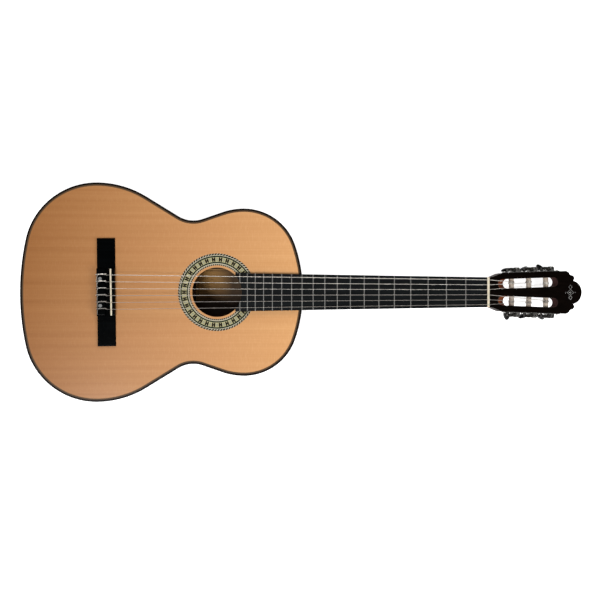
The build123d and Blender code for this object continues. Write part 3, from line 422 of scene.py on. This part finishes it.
def metal(name, tint, rough=(0.2, 0.34), brush=(300, 2600, 2600), dark=0.55):
    """Plated metal with fine brushing and dull patches."""
    graph = Graph(name)
    place = graph.place()
    lines = graph.noise(graph.stretch(place, brush), detail=3)
    dull = graph.noise(place, scale=90, detail=4, rough=0.6)
    worn = graph.span(dull, 0.42, 0.72)
    base = graph.mix(graph.times(worn, 0.6), tint, tuple(c * dark for c in tint))
    graph.bump(lines, 0.006 * MM, 0.5)
    rough_value = graph.add(graph.between(worn, *rough), graph.times(graph.take(lines, 0.5), 0.08))
    return graph.finish(base, rough_value, Metallic=1.0)


def engraved_metal(name, tint):
    """A stamped side plate: a field of raised leaf-like scrolls with a dark ground between them."""
    graph = Graph(name)
    place = graph.place()
    drift = graph.make("TexNoise", {"Vector": place, "Scale": 160.0}, output="Color")
    drift = graph.stretch(drift, (0.004, 0.004, 0.004))
    bent = graph.make("VectorMath", {0: place, 1: drift}, operation="ADD")
    leaf = graph.cells(bent, 260.0)
    wave = graph.math("SINE", graph.times(leaf, 22.0))
    raised = graph.span(wave, -0.35, 0.45)
    dull = graph.noise(place, scale=120, detail=4)
    ground = tuple(c * 0.16 for c in tint)
    base = graph.mix(raised, ground, tint)
    base = graph.mix(graph.times(graph.span(dull, 0.45, 0.7), 0.45), base, tuple(c * 0.45 for c in tint))
    graph.bump(raised, 0.16 * MM, 0.8)
    return graph.finish(base, graph.between(raised, 0.5, 0.26), Metallic=1.0)


def wound_metal():
    """A silver-plated wrap wire round a string: one ridge each 0.22 mm, with painted shade between the
    ridges.
    """
    graph = Graph("wound_string")
    place = graph.place()
    along = graph.add(graph.part(place, "X"), graph.times(graph.part(place, "Z"), 0.9))
    ridge = graph.size(graph.math("SINE", graph.times(along, pi / (0.22 * MM))))
    tarnish = graph.noise(graph.stretch(place, (40, 300, 300)), detail=3)
    # Painted shade: darker in the grooves between the ridges, lighter on their tops.
    base = graph.mix(ridge, (0.36, 0.335, 0.30), (0.62, 0.585, 0.535))
    base = graph.mix(graph.times(graph.span(tarnish, 0.45, 0.7), 0.35), base, (0.50, 0.455, 0.40))
    graph.bump(ridge, 0.06 * MM, 0.8)
    return graph.finish(base, graph.between(tarnish, 0.25, 0.38), Metallic=0.85)


def nylon():
    """Translucent nylon, drawn smooth, with a faint cloud in it."""
    graph = Graph("nylon")
    cloud = graph.noise(graph.stretch(graph.place(), (25, 700, 700)), detail=3)
    base = graph.mix(cloud, (0.40, 0.365, 0.33), (0.49, 0.45, 0.405))
    graph.bump(cloud, 0.01 * MM, 0.2)
    return graph.finish(base, graph.between(cloud, 0.32, 0.42), Transmission_Weight=0.6)


def rosette_inlay():
    """Concentric wood veneers round a band of mosaic: dark double bars with lozenges between.

    Radii and widths are in millimetres here.
    """
    bar_pairs, dash_count, band_radius = 30, 84, 57.0
    spacing = 2 * pi * band_radius / bar_pairs
    graph = Graph("rosette_inlay")
    low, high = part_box("rosette")
    centre = (low + high) / 2
    place = graph.place()
    dx = graph.take(graph.part(place, "X"), centre.x)
    dy = graph.take(graph.part(place, "Y"), centre.y)
    radius = graph.times(graph.math("SQRT", graph.add(graph.times(dx, dx), graph.times(dy, dy))), 1 / MM)
    turn = graph.times(graph.math("ARCTAN2", dy, dx), 1 / (2 * pi))

    def repeat(number, shift=0.5):
        """How far through its repeat a point is, from -0.5 to 0.5."""
        return graph.take(graph.math("FRACT", graph.add(graph.times(turn, number), shift)), 0.5)

    cream, sand, black = (0.43, 0.40, 0.225), (0.26, 0.22, 0.105), (0.002, 0.002, 0.0015)
    green, white = (0.001, 0.011, 0.007), (0.42, 0.385, 0.275)
    around = graph.times(repeat(bar_pairs), spacing)
    between = graph.times(repeat(bar_pairs, 0.0), spacing)
    out = graph.take(radius, band_radius)
    patch = graph.join(graph.times(turn, bar_pairs * 12), graph.times(out, 1.1), 0.0)
    tiles = graph.cells(patch, 1.0, output="Color")
    tone = graph.part(tiles, "X")
    mosaic = graph.mix(graph.times(tone, 0.6), cream, sand)
    lozenge = graph.add(graph.size(between), graph.times(graph.size(out), 0.5))
    mosaic = graph.mix(graph.under(lozenge, 1.7, 0.1), mosaic, (0.13, 0.125, 0.07))
    mosaic = graph.mix(graph.under(lozenge, 1.1, 0.1), mosaic, (0.30, 0.31, 0.25))
    bar = graph.under(graph.size(graph.take(graph.size(around), 1.8)), 1.3, 0.08)
    link = graph.times(graph.under(graph.size(around), 1.0, 0.05), graph.under(graph.size(out), 1.3, 0.05))
    dark = graph.times(graph.math("MAXIMUM", bar, link), graph.under(graph.size(out), 3.7, 0.1))
    mosaic = graph.mix(dark, mosaic, graph.mix(graph.times(tone, 0.3), black, (0.035, 0.024, 0.010)))

    slant = graph.add(graph.times(turn, dash_count), graph.times(radius, 0.18))
    dash = graph.under(graph.math("FRACT", slant), 0.78, 0.04)
    dashes = graph.mix(dash, (0.55, 0.51, 0.40), black)
    rings = (
        (46.7, dashes), (49.0, white), (50.5, green), (52.9, cream), (53.2, mosaic),
        (60.8, cream), (61.0, green), (63.5, white), (64.5, dashes),
    )
    base = black
    for start, tint in rings:
        base = graph.mix(graph.under(radius, start, 0.03), tint, base)
    fibre = graph.noise(place, scale=2600, detail=2)
    base = graph.mix(graph.times(fibre, 0.1), base, (0.10, 0.08, 0.05))
    graph.bump(fibre, 0.01 * MM, 0.3)
    return graph.finish(base, graph.between(fibre, 0.38, 0.5), Specular_IOR_Level=0.05)


def purfling_inlay():
    """A narrow inlay read across its width: black, mottled brown marquetry and a plain brown line."""
    graph = Graph("purfling_inlay")
    across = graph.make("Attribute", {}, output="Fac", attribute_name="across")
    along = graph.make("Attribute", {}, output="Fac", attribute_name="along")
    bend = graph.times(graph.size(graph.take(across, CHEVRON_SHARE)), 2.2)
    slant = graph.add(graph.times(along, 1 / (2.4 * MM)), bend)
    chevron = graph.under(graph.math("FRACT", slant), 0.5, 0.1)
    grain = graph.noise(graph.stretch(graph.place(), (900, 900, 900)), detail=3)
    brown = graph.mix(graph.times(chevron, 0.7), (0.098, 0.056, 0.028), (0.040, 0.023, 0.013))
    brown = graph.mix(graph.times(grain, 0.4), brown, (0.060, 0.038, 0.020))
    base = graph.mix(graph.under(across, BLACK_SHARE, 0.01), brown, (0.012, 0.009, 0.007))
    base = graph.mix(graph.under(across, LINE_SHARE, 0.01), (0.15, 0.080, 0.036), base)
    graph.bump(grain, 0.01 * MM, 0.3)
    return graph.finish(base, graph.between(grain, 0.34, 0.46), Specular_IOR_Level=0.08)


def label_paper():
    """A brown paper label with a plain double border and nothing printed inside it.

    It darkens towards the neck and the treble side, to stand for the soundboard's shade.
    """
    graph = Graph("label_paper")
    low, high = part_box("label")
    centre, half = (low + high) / 2, (high - low) / 2
    place = graph.place()
    reach_x = graph.take(half.x, graph.size(graph.take(graph.part(place, "X"), centre.x)))
    reach_y = graph.take(half.y, graph.size(graph.take(graph.part(place, "Y"), centre.y)))
    edge = graph.times(graph.math("MINIMUM", reach_x, reach_y), 1 / MM)
    pulp = graph.noise(place, scale=1300, detail=4, rough=0.7)
    stain = graph.noise(place, scale=38, detail=3)
    base = graph.mix(graph.span(pulp, 0.3, 0.7), (0.70, 0.36, 0.098), (0.84, 0.45, 0.135))
    base = graph.mix(graph.times(graph.span(stain, 0.45, 0.7), 0.5), base, (0.52, 0.26, 0.070))
    shaded_end = graph.span(graph.part(place, "X"), centre.x - half.x, centre.x + 25 * MM)
    base = graph.mix(shaded_end, base, (0.060, 0.031, 0.010))
    shaded_side = graph.span(graph.part(place, "Y"), centre.y + 5 * MM, centre.y - half.y)
    base = graph.mix(graph.times(shaded_side, 0.75), base, (0.05, 0.026, 0.010))
    wide = graph.under(graph.size(graph.take(edge, 3.2)), 0.45, 0.05)
    thin = graph.under(graph.size(graph.take(edge, 4.6)), 0.18, 0.05)
    base = graph.mix(graph.times(graph.math("MAXIMUM", wide, thin), 0.85), base, (0.045, 0.026, 0.014))
    graph.bump(pulp, 0.03 * MM, 0.4)
    return graph.finish(base, 0.78)


def roller_shell(name, joint):
    """A string roller: a bone-coloured barrel, and bare metal where it passes out through the plate."""
    graph = Graph(name)
    place = graph.place()
    axis = Vector(joint["axis"])
    outward = axis if axis.y * joint["pos_m"][1] > 0 else -axis
    reach = graph.make("VectorMath", {0: place, 1: tuple(outward)}, output="Value", operation="DOT_PRODUCT")
    plate = outward.dot(Vector(joint["pos_m"]))
    outside = graph.span(reach, plate - 0.15 * MM, plate - 0.05 * MM)
    turned = graph.math("SINE", graph.times(reach, 2 * pi / (0.35 * MM)))
    age = graph.noise(place, scale=240, detail=3)
    base = graph.mix(graph.span(age, 0.35, 0.7), (0.46, 0.39, 0.32), (0.30, 0.24, 0.19))
    base = graph.mix(outside, base, (0.56, 0.55, 0.53))
    graph.bump(turned, 0.01 * MM, 0.5)
    return graph.finish(base, graph.between(outside, 0.33, 0.25), Metallic=outside)


def floor_paper():
    """Plain white paper that also gives off light, which keeps the shadows on it faint."""
    graph = Graph("floor")
    speck = graph.noise(graph.place(), scale=18, detail=3)
    base = graph.mix(speck, (0.90, 0.90, 0.90), (0.93, 0.93, 0.93))
    return graph.finish(base, 0.9, Specular_IOR_Level=0.0, Emission_Color=(1, 1, 1, 1),
                        Emission_Strength=0.7)


# ---------------------------------------------------------------- mesh helpers

def add_piece(name, mesh, material, body="root", smooth=True):
    """Links a mesh as a piece that rides a body, with its place in its vertices."""
    piece = bpy.data.objects.new(name, mesh)
    bpy.context.scene.collection.objects.link(piece)
    mesh.materials.append(material)
    for face in mesh.polygons:
        face.use_smooth = smooth
    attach(piece, body)
    return piece


def smooth_path(points, steps=8):
    """A Catmull-Rom curve through the points, as many short steps."""
    ends = [points[0] * 2 - points[1], *points, points[-1] * 2 - points[-2]]
    path = []
    for before, start, end, after in zip(ends, ends[1:], ends[2:], ends[3:]):
        for step in range(steps):
            t = step / steps
            path.append(0.5 * (
                2 * start + (end - before) * t
                + (2 * before - 5 * start + 4 * end - after) * t * t
                + (3 * start - before - 3 * end + after) * t * t * t
            ))
    path.append(points[-1])
    return path


def tube_mesh(name, path, radius, sides=12):
    """A closed tube along a path, with rounded ends. Its rings turn as little as they can."""
    mesh = bmesh.new()
    directions = [(b - a).normalized() for a, b in zip(path, path[1:])]
    directions.append(directions[-1])
    side = directions[0].orthogonal().normalized()
    rings = []
    caps = ((-0.75, 0.35), (-0.45, 0.8))
    stations = [
        (path[0] + directions[0] * radius * step, directions[0], radius * size) for step, size in caps
    ]
    stations += [(point, direction, radius) for point, direction in zip(path, directions)]
    stations += [(path[-1] - directions[-1] * radius * step, directions[-1], radius * size)
                 for step, size in reversed(caps)]
    for point, direction, size in stations:
        side = (side - direction * side.dot(direction)).normalized()
        up = direction.cross(side)
        rings.append([
            mesh.verts.new(point + (side * cos(2 * pi * i / sides) + up * sin(2 * pi * i / sides)) * size)
            for i in range(sides)
        ])
    for near, far in zip(rings, rings[1:]):
        for i in range(sides):
            j = (i + 1) % sides
            mesh.faces.new((near[i], near[j], far[j], far[i]))
    mesh.faces.new(list(reversed(rings[0])))
    mesh.faces.new(rings[-1])
    data = bpy.data.meshes.new(name)
    mesh.to_mesh(data)
    mesh.free()
    return data


def prism_mesh(name, outline, depth, place):
    """A flat plate with bevelled top edges from a closed outline in its own plane, put in place."""
    mesh = bmesh.new()
    bottom = [mesh.verts.new((x, y, -depth)) for x, y in outline]
    face = mesh.faces.new(bottom)
    grown = bmesh.ops.extrude_face_region(mesh, geom=[face])
    raised = [v for v in grown["geom"] if isinstance(v, bmesh.types.BMVert)]
    bmesh.ops.translate(mesh, verts=raised, vec=(0, 0, depth))
    bmesh.ops.recalc_face_normals(mesh, faces=mesh.faces)
    edges = {edge for vert in raised for edge in vert.link_edges}
    top_edges = [edge for edge in edges if all(vert in raised for vert in edge.verts)]
    bmesh.ops.bevel(mesh, geom=top_edges, offset=depth * 0.35, segments=2, affect="EDGES", profile=0.6)
    mesh.transform(place)
    data = bpy.data.meshes.new(name)
    mesh.to_mesh(data)
    mesh.free()
    return data


# ---------------------------------------------------------------- strings

def tie_route(number):
    """The knot at the bridge: a loop round the string in front of the tie block, then back over the block.

    Heights are measured from the centre of a string that lies on the block, and distances along X
    from the block's front edge.
    """
    radius = STRING_RADII[number] * MM
    y = SADDLE_SPREAD / 2 - SADDLE_SPREAD / 5 * (6 - number)
    front = BRIDGE_REAR + TIE_BLOCK_WIDTH - y * tan(BRIDGE_TURN)
    side = 1.6 * MM + radius
    beside = side - 2 * radius - 0.1 * MM
    top = TOP_Z + TIE_BLOCK_HEIGHT + radius
    string_z = -2.6 * MM - radius
    clear = 2 * radius + 0.15 * MM
    route = [
        (0.9 * MM, side, 0.0),
        (2.0 * MM, side * 0.95, -0.9 * MM),
        (2.8 * MM, side * 0.6, string_z - clear * 0.6),
        (3.2 * MM, 0.0, string_z - clear),
        (3.3 * MM, -clear, string_z),
        (3.2 * MM, 0.0, string_z + clear),
        (2.3 * MM, beside * 0.7, -0.8 * MM),
        (0.6 * MM, beside, 0.05 * MM),
        (-3.0 * MM, beside, 0.0),
        (-9.8 * MM, beside * 0.8, 0.0),
        (-12.2 * MM, beside * 0.3 - 0.6 * MM, 0.0),
        (-13.0 * MM, -3.0 * MM, 0.0),
        (-13.1 * MM, -6.0 * MM, 0.0),
        (-13.0 * MM, -8.6 * MM, 0.0),
    ]
    return [LEAN @ Vector((front + dx, y + dy, top + dz)) for dx, dy, dz in route]


def add_ties(wire, clear):
    for number in STRINGS:
        path = smooth_path(tie_route(number))
        mesh = tube_mesh(f"tie_{number}", path, STRING_RADII[number] * MM)
        piece = add_piece(f"tie_{number}", mesh, wire if number in BASS_STRINGS else clear)


def string_end(number):
    """The centre of a string's end at its roller."""
    vertices = [v.co for v in nodes[f"string_{number}"].data.vertices]
    last = max(v.x for v in vertices)
    ring = {tuple(round(c, 7) for c in v) for v in vertices if v.x > last - 1.5 * MM}
    return sum((Vector(v) for v in ring), Vector()) / len(ring)


def winding_route(number):
    """The turns on a roller: on from the string's end, round the roller, and in through its hole.

    Where the string lands next to the hole, it winds away from it and crosses back over its turns.
    """
    winder, key = joints[f"winder_{number}_turn"], joints[f"key_{number}_turn"]
    origin = Vector(winder["pos_m"])
    axis = Vector(winder["axis"])
    up = Vector(key["axis"])
    along = axis.cross(up).normalized()
    if along.x < 0:
        along = -along
    offset = string_end(number) - origin
    start_side = offset.dot(axis)
    hole_side = copysign(ROLLER_HOLE_SIDE, start_side)
    radius = STRING_RADII[number] * MM
    pitch = TURN_PITCH * radius
    reach = ROLLER_RADIUS + radius + 0.04 * MM
    first = atan2(offset.dot(up), offset.dot(along)) - pi / 2
    gap = abs(hole_side - start_side)
    if gap > 2 * pitch:
        turns = round(gap / pitch)
        stations = [(0.0, start_side, reach), (turns * 2 * pi + first, hole_side, reach)]
    else:
        turns = 3
        far = start_side - copysign(turns * pitch, start_side)
        raised = reach + pitch
        lead = turns * 2 * pi + first
        stations = [
            (0.0, start_side, reach), (lead, far, reach), (lead + pi / 2, far, raised),
            (lead + 1.8 * pi, hole_side, raised), (lead + 2 * pi, hole_side, reach + radius),
        ]
    route = []
    for (turn, side, rise), (next_turn, next_side, next_rise) in zip(stations, stations[1:]):
        steps = int(ceil((next_turn - turn) / radians(12)))
        for step in range(steps):
            share = step / steps
            angle = first + pi / 2 - (turn + (next_turn - turn) * share)
            level = rise + (next_rise - rise) * share
            across = side + (next_side - side) * share
            route.append(origin + along * level * cos(angle) + up * level * sin(angle) + axis * across)
    middle = origin + axis * hole_side
    route.append(middle + up * (reach - 0.5 * MM) + along * 0.5 * MM)
    route.append(middle + up * (ROLLER_RADIUS - 0.8 * MM) + along * 0.1 * MM)
    route.append(middle + up * (ROLLER_RADIUS - 2.4 * MM))
    return route


def add_windings(wire, clear):
    for number in STRINGS:
        mesh = tube_mesh(f"winding_{number}", winding_route(number), STRING_RADII[number] * MM)
        material = wire if number in BASS_STRINGS else clear
        piece = add_piece(f"winding_{number}", mesh, material, body=f"winder_{number}")


# ---------------------------------------------------------------- inlays

def face_loops(node):
    """The closed boundary loops of a node's upward faces, longest first."""
    def key(co):
        return round(co.x, 6), round(co.y, 6), round(co.z, 6)

    def length(loop):
        return sum((b - a).length for a, b in zip(loop, loop[1:]))

    edges = {}
    data = nodes[node].data
    top = max(v.co.z for v in data.vertices)
    for face in data.polygons:
        if face.normal.z < 0.9:
            continue
        corners = [key(data.vertices[i].co) for i in face.vertices]
        for a, b in zip(corners, corners[1:] + corners[:1]):
            if (b, a) in edges:
                del edges[(b, a)]
            else:
                edges[(a, b)] = True
    follow = {a: b for a, b in edges}
    loops = []
    while follow:
        start, point = follow.popitem()
        loop = [Vector(start)]
        while point in follow:
            loop.append(Vector(point))
            point = follow.pop(point)
        loops.append(loop)
    return sorted(loops, key=length, reverse=True)


def resample(loop, step):
    """Points at an even spacing round a closed loop."""
    closed = [*loop, loop[0]]
    total = sum((b - a).length for a, b in zip(closed, closed[1:]))
    count = round(total / step)
    gap, due, run, points = total / count, 0.0, 0.0, []
    for a, b in zip(closed, closed[1:]):
        span = (b - a).length
        while due <= run + span - 1e-9 and len(points) < count:
            points.append(a.lerp(b, (due - run) / span))
            due += gap
        run += span
    return points, gap


def nearest_on_loop(point, loop):
    """The closest point of a closed polyline."""
    best, best_gap = None, 1e9
    for a, b in zip(loop, loop[1:] + loop[:1]):
        line = b - a
        t = max(0.0, min(1.0, (point - a).dot(line) / line.length_squared))
        spot = a + line * t
        gap = (spot - point).length
        if gap < best_gap:
            best, best_gap = spot, gap
    return best


def add_purfling(material):
    """The inlay inside the binding, as a ring whose corners know how far across and along they are."""
    outer, inner = face_loops("top_purfling")[:2]
    points, gap = resample(outer, 4 * MM)
    columns = (0.0, BLACK_SHARE, CHEVRON_SHARE, 0.60, LINE_SHARE, 1.0)
    depth = 1.5 * MM
    vertices, faces, across, along = [], [], [], []
    for i, point in enumerate(points):
        inside = nearest_on_loop(point, inner)
        row = [point.lerp(inside, c) for c in columns]
        row += [row[-1] - Vector((0, 0, depth)), row[0] - Vector((0, 0, depth))]
        vertices += row
        across += [*columns, 1.0, 0.0]
        along += [i * gap] * len(row)
    width, count = len(columns) + 2, len(points)
    for i in range(count):
        j = (i + 1) % count
        for k in range(width):
            n = (k + 1) % width
            faces.append((i * width + k, i * width + n, j * width + n, j * width + k))
    mesh = bpy.data.meshes.new("purfling_inlay")
    mesh.from_pydata(vertices, [], faces)
    for name, values in (("across", across), ("along", along)):
        mesh.attributes.new(name, "FLOAT", "POINT").data.foreach_set("value", values)
    piece = add_piece("purfling_inlay", mesh, material, smooth=False)
    fix = bmesh.new()
    fix.from_mesh(mesh)
    bmesh.ops.recalc_face_normals(fix, faces=fix.faces)
    fix.to_mesh(mesh)
    fix.free()
    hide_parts("top_purfling")


def head_place(u, v):
    """A matrix from an ornament's plane to the face of the head: u from the nut, v to the bass side."""
    along = Vector((cos(HEAD_ANGLE), 0, -sin(HEAD_ANGLE)))
    side = Vector((0, 1, 0))
    normal = along.cross(side)
    origin = HEAD_START + along * u + side * v + normal * (HEAD_VENEER + 0.06 * MM)
    return LEAN @ Matrix.Translation(origin) @ Matrix((along, side, normal)).transposed().to_4x4()


def frame_mesh(name, outline, inner, depth, place):
    """A flat open frame between an outline and the same outline scaled down by inner."""
    mesh = bmesh.new()
    rings = [[mesh.verts.new((x * scale, y * scale, z)) for x, y in outline]
             for z, scale in ((0, 1.0), (0, inner), (-depth, inner), (-depth, 1.0))]
    for near, far in zip(rings, rings[1:] + rings[:1]):
        for i in range(len(outline)):
            j = (i + 1) % len(outline)
            mesh.faces.new((near[i], near[j], far[j], far[i]))
    bmesh.ops.recalc_face_normals(mesh, faces=mesh.faces)
    mesh.transform(place)
    data = bpy.data.meshes.new(name)
    mesh.to_mesh(data)
    mesh.free()
    return data


def add_ornament(material):
    """A plain inlaid ornament across the head: three open lozenges, a small solid one and two dots."""
    def lozenge(length, width):
        return [(length / 2, 0), (0, width / 2), (-length / 2, 0), (0, -width / 2)]

    def disc(radius, sides=20):
        return [(radius * cos(2 * pi * i / sides), radius * sin(2 * pi * i / sides)) for i in range(sides)]

    middle_u = 165 * MM
    frames = (
        ("lozenge_middle", lozenge(15 * MM, 11 * MM), 0.80, 0.0),
        ("lozenge_bass", lozenge(8 * MM, 9 * MM), 0.72, 9.6 * MM),
        ("lozenge_treble", lozenge(8 * MM, 9 * MM), 0.72, -9.6 * MM),
    )
    for name, outline, inner, v in frames:
        piece = add_piece(name, frame_mesh(name, outline, inner, 0.3 * MM, head_place(middle_u, v)),
                          material, smooth=False)
    solids = (
        ("lozenge_core", lozenge(5 * MM, 3.6 * MM), 0.0, 0.0),
        ("dot_tip", disc(0.9 * MM), 10 * MM, 0.0),
        ("dot_nut", disc(0.9 * MM), -10 * MM, 0.0),
    )
    for name, outline, u, v in solids:
        piece = add_piece(name, prism_mesh(name, outline, 0.3 * MM, head_place(middle_u + u, v)),
                          material, smooth=False)


# ---------------------------------------------------------------- carried-over parts

def paint(names, material):
    """Gives CAD parts their material."""
    for name in names:
        data = nodes[name].data
        data.materials.clear()
        data.materials.append(material)


def paint_parts():
    """Paints every CAD part and returns the two string materials."""
    def numbered(stem):
        return [f"{stem}_{n}" for n in STRINGS]

    wire, clear = wound_metal(), nylon()
    board_black = ebony("board_black", tint=(0.0030, 0.0038, 0.0042), shine=0.06)
    bridge_black = ebony("bridge_black", tint=(0.0004, 0.0006, 0.0007), rough=(0.16, 0.24), shine=0.02)
    dark_metal = metal("dark_nickel", (0.095, 0.090, 0.084), rough=(0.14, 0.24), dark=0.2)
    paint(["soundboard"], soundboard_wood())
    paint(["rosette"], rosette_inlay())
    paint(["back_plates"], back_plate_wood())
    paint(["bass_side", "treble_side"], side_wood())
    paint(["back_strip"],
          hardwood("strip_wood", (0.30, 0.17, 0.07), (0.20, 0.10, 0.04), (0.05, 0.02, 0.01)))
    paint(["top_binding", "back_binding"],
          gloss("black_binding", (0.0045, 0.0028, 0.0018), rough=(0.3, 0.42), Specular_IOR_Level=0.05))
    paint(["top_lining", "back_lining", "neck_block", "tail_block"],
          bare_wood("lining_wood", (0.50, 0.33, 0.18), (0.34, 0.19, 0.09)))
    paint(["fan_braces", "harmonic_bars", "back_braces"],
          bare_wood("brace_wood", (0.62, 0.45, 0.26), (0.46, 0.29, 0.14)))
    paint(["label"], label_paper())
    paint(["fretboard"], board_black)
    paint(["bridge"], bridge_black)
    paint(["head_veneer", "heel_cap"],
          ebony("head_black", tint=(0.0016, 0.0009, 0.0006), rough=(0.3, 0.42), shine=0.01))
    paint(["neck"], neck_wood())
    paint(["saddle", "nut"], bone())
    paint(["bridge_dots"], pearl())
    paint(["frets"], metal("fret_metal", (0.66, 0.65, 0.62), rough=(0.16, 0.26), brush=(2600, 300, 2600)))
    paint(["bridge_bolts", "plate_screws"], metal("screw_steel", (0.52, 0.51, 0.49)))
    paint(["bass_tuner_plate", "treble_tuner_plate"],
          engraved_metal("engraved_plate", (0.22, 0.212, 0.200)))
    paint(numbered("worm"), dark_metal)
    paint(numbered("gear"), metal("gear_metal", (0.135, 0.128, 0.118), rough=(0.18, 0.3), dark=0.25))
    paint(numbered("button"),
          gloss("button_black", (0.0012, 0.0011, 0.0012), rough=(0.16, 0.24), Specular_IOR_Level=0.04))
    for number in STRINGS:
        paint([f"roller_{number}"], roller_shell(f"roller_{number}", joints[f"winder_{number}_turn"]))
        paint([f"string_{number}"], wire if number in BASS_STRINGS else clear)
    return wire, clear


# ---------------------------------------------------------------- stage

def add_floor():
    mesh = bpy.data.meshes.new("floor")
    mesh.from_pydata([(-30, -30, 0), (30, -30, 0), (30, 30, 0), (-30, 30, 0)], [], [(0, 1, 2, 3)])
    floor = bpy.data.objects.new("floor", mesh)
    floor.location.z = cad_box[0].z - 0.2 * MM
    bpy.context.scene.collection.objects.link(floor)
    mesh.materials.append(floor_paper())


def add_light(name, place, target, size, power):
    light = bpy.data.lights.new(name, "AREA")
    light.shape = "DISK"
    light.size = size
    light.energy = power
    lamp = bpy.data.objects.new(name, light)
    lamp.location = place
    lamp.rotation_euler = (Vector(target) - Vector(place)).to_track_quat("-Z", "Y").to_euler()
    bpy.context.scene.collection.objects.link(lamp)


def add_lights():
    """A dim even sky, and wide lamps low enough round the sides to stay out of the flat faces' gloss."""
    world = bpy.data.worlds.new("studio")
    world.use_nodes = True
    background = world.node_tree.nodes["Background"]
    background.inputs["Color"].default_value = (1, 1, 1, 1)
    background.inputs["Strength"].default_value = 0.25
    bpy.context.scene.world = world
    add_light("key", (-0.35, -0.68, 1.85), (0.05, 0, 0), 0.6, 25)
    add_light("head_side", (1.9, -1.0, 1.4), (0.2, 0, 0), 1.2, 34)
    add_light("bass_side", (0.4, 1.9, 1.3), (0.15, 0, 0), 1.4, 27)


def add_camera():
    """The view is from above the soundboard, over the middle of the guitar's length."""
    camera = bpy.data.cameras.new("camera")
    camera.sensor_width = 36
    camera.lens = 52.42
    eye = bpy.data.objects.new("camera", camera)
    tilt = radians(2.984)
    right = Vector((cos(tilt), 0, sin(tilt)))
    back = Vector((-sin(tilt), 0, cos(tilt)))
    turn = Matrix((right, back.cross(right), back)).transposed().to_4x4()
    stand = Matrix.Translation(Vector((153.15, -6.6, 1601.7)) * MM)
    eye.matrix_world = LEAN @ stand @ turn
    bpy.context.scene.collection.objects.link(eye)
    bpy.context.scene.camera = eye


add_camera()
wire, clear = paint_parts()
add_ties(wire, clear)
add_windings(wire, clear)
add_purfling(purfling_inlay())
add_ornament(metal("ornament_silver", (0.50, 0.49, 0.47)))
add_floor()
add_lights()

bpy.context.scene.view_settings.view_transform = "Standard"
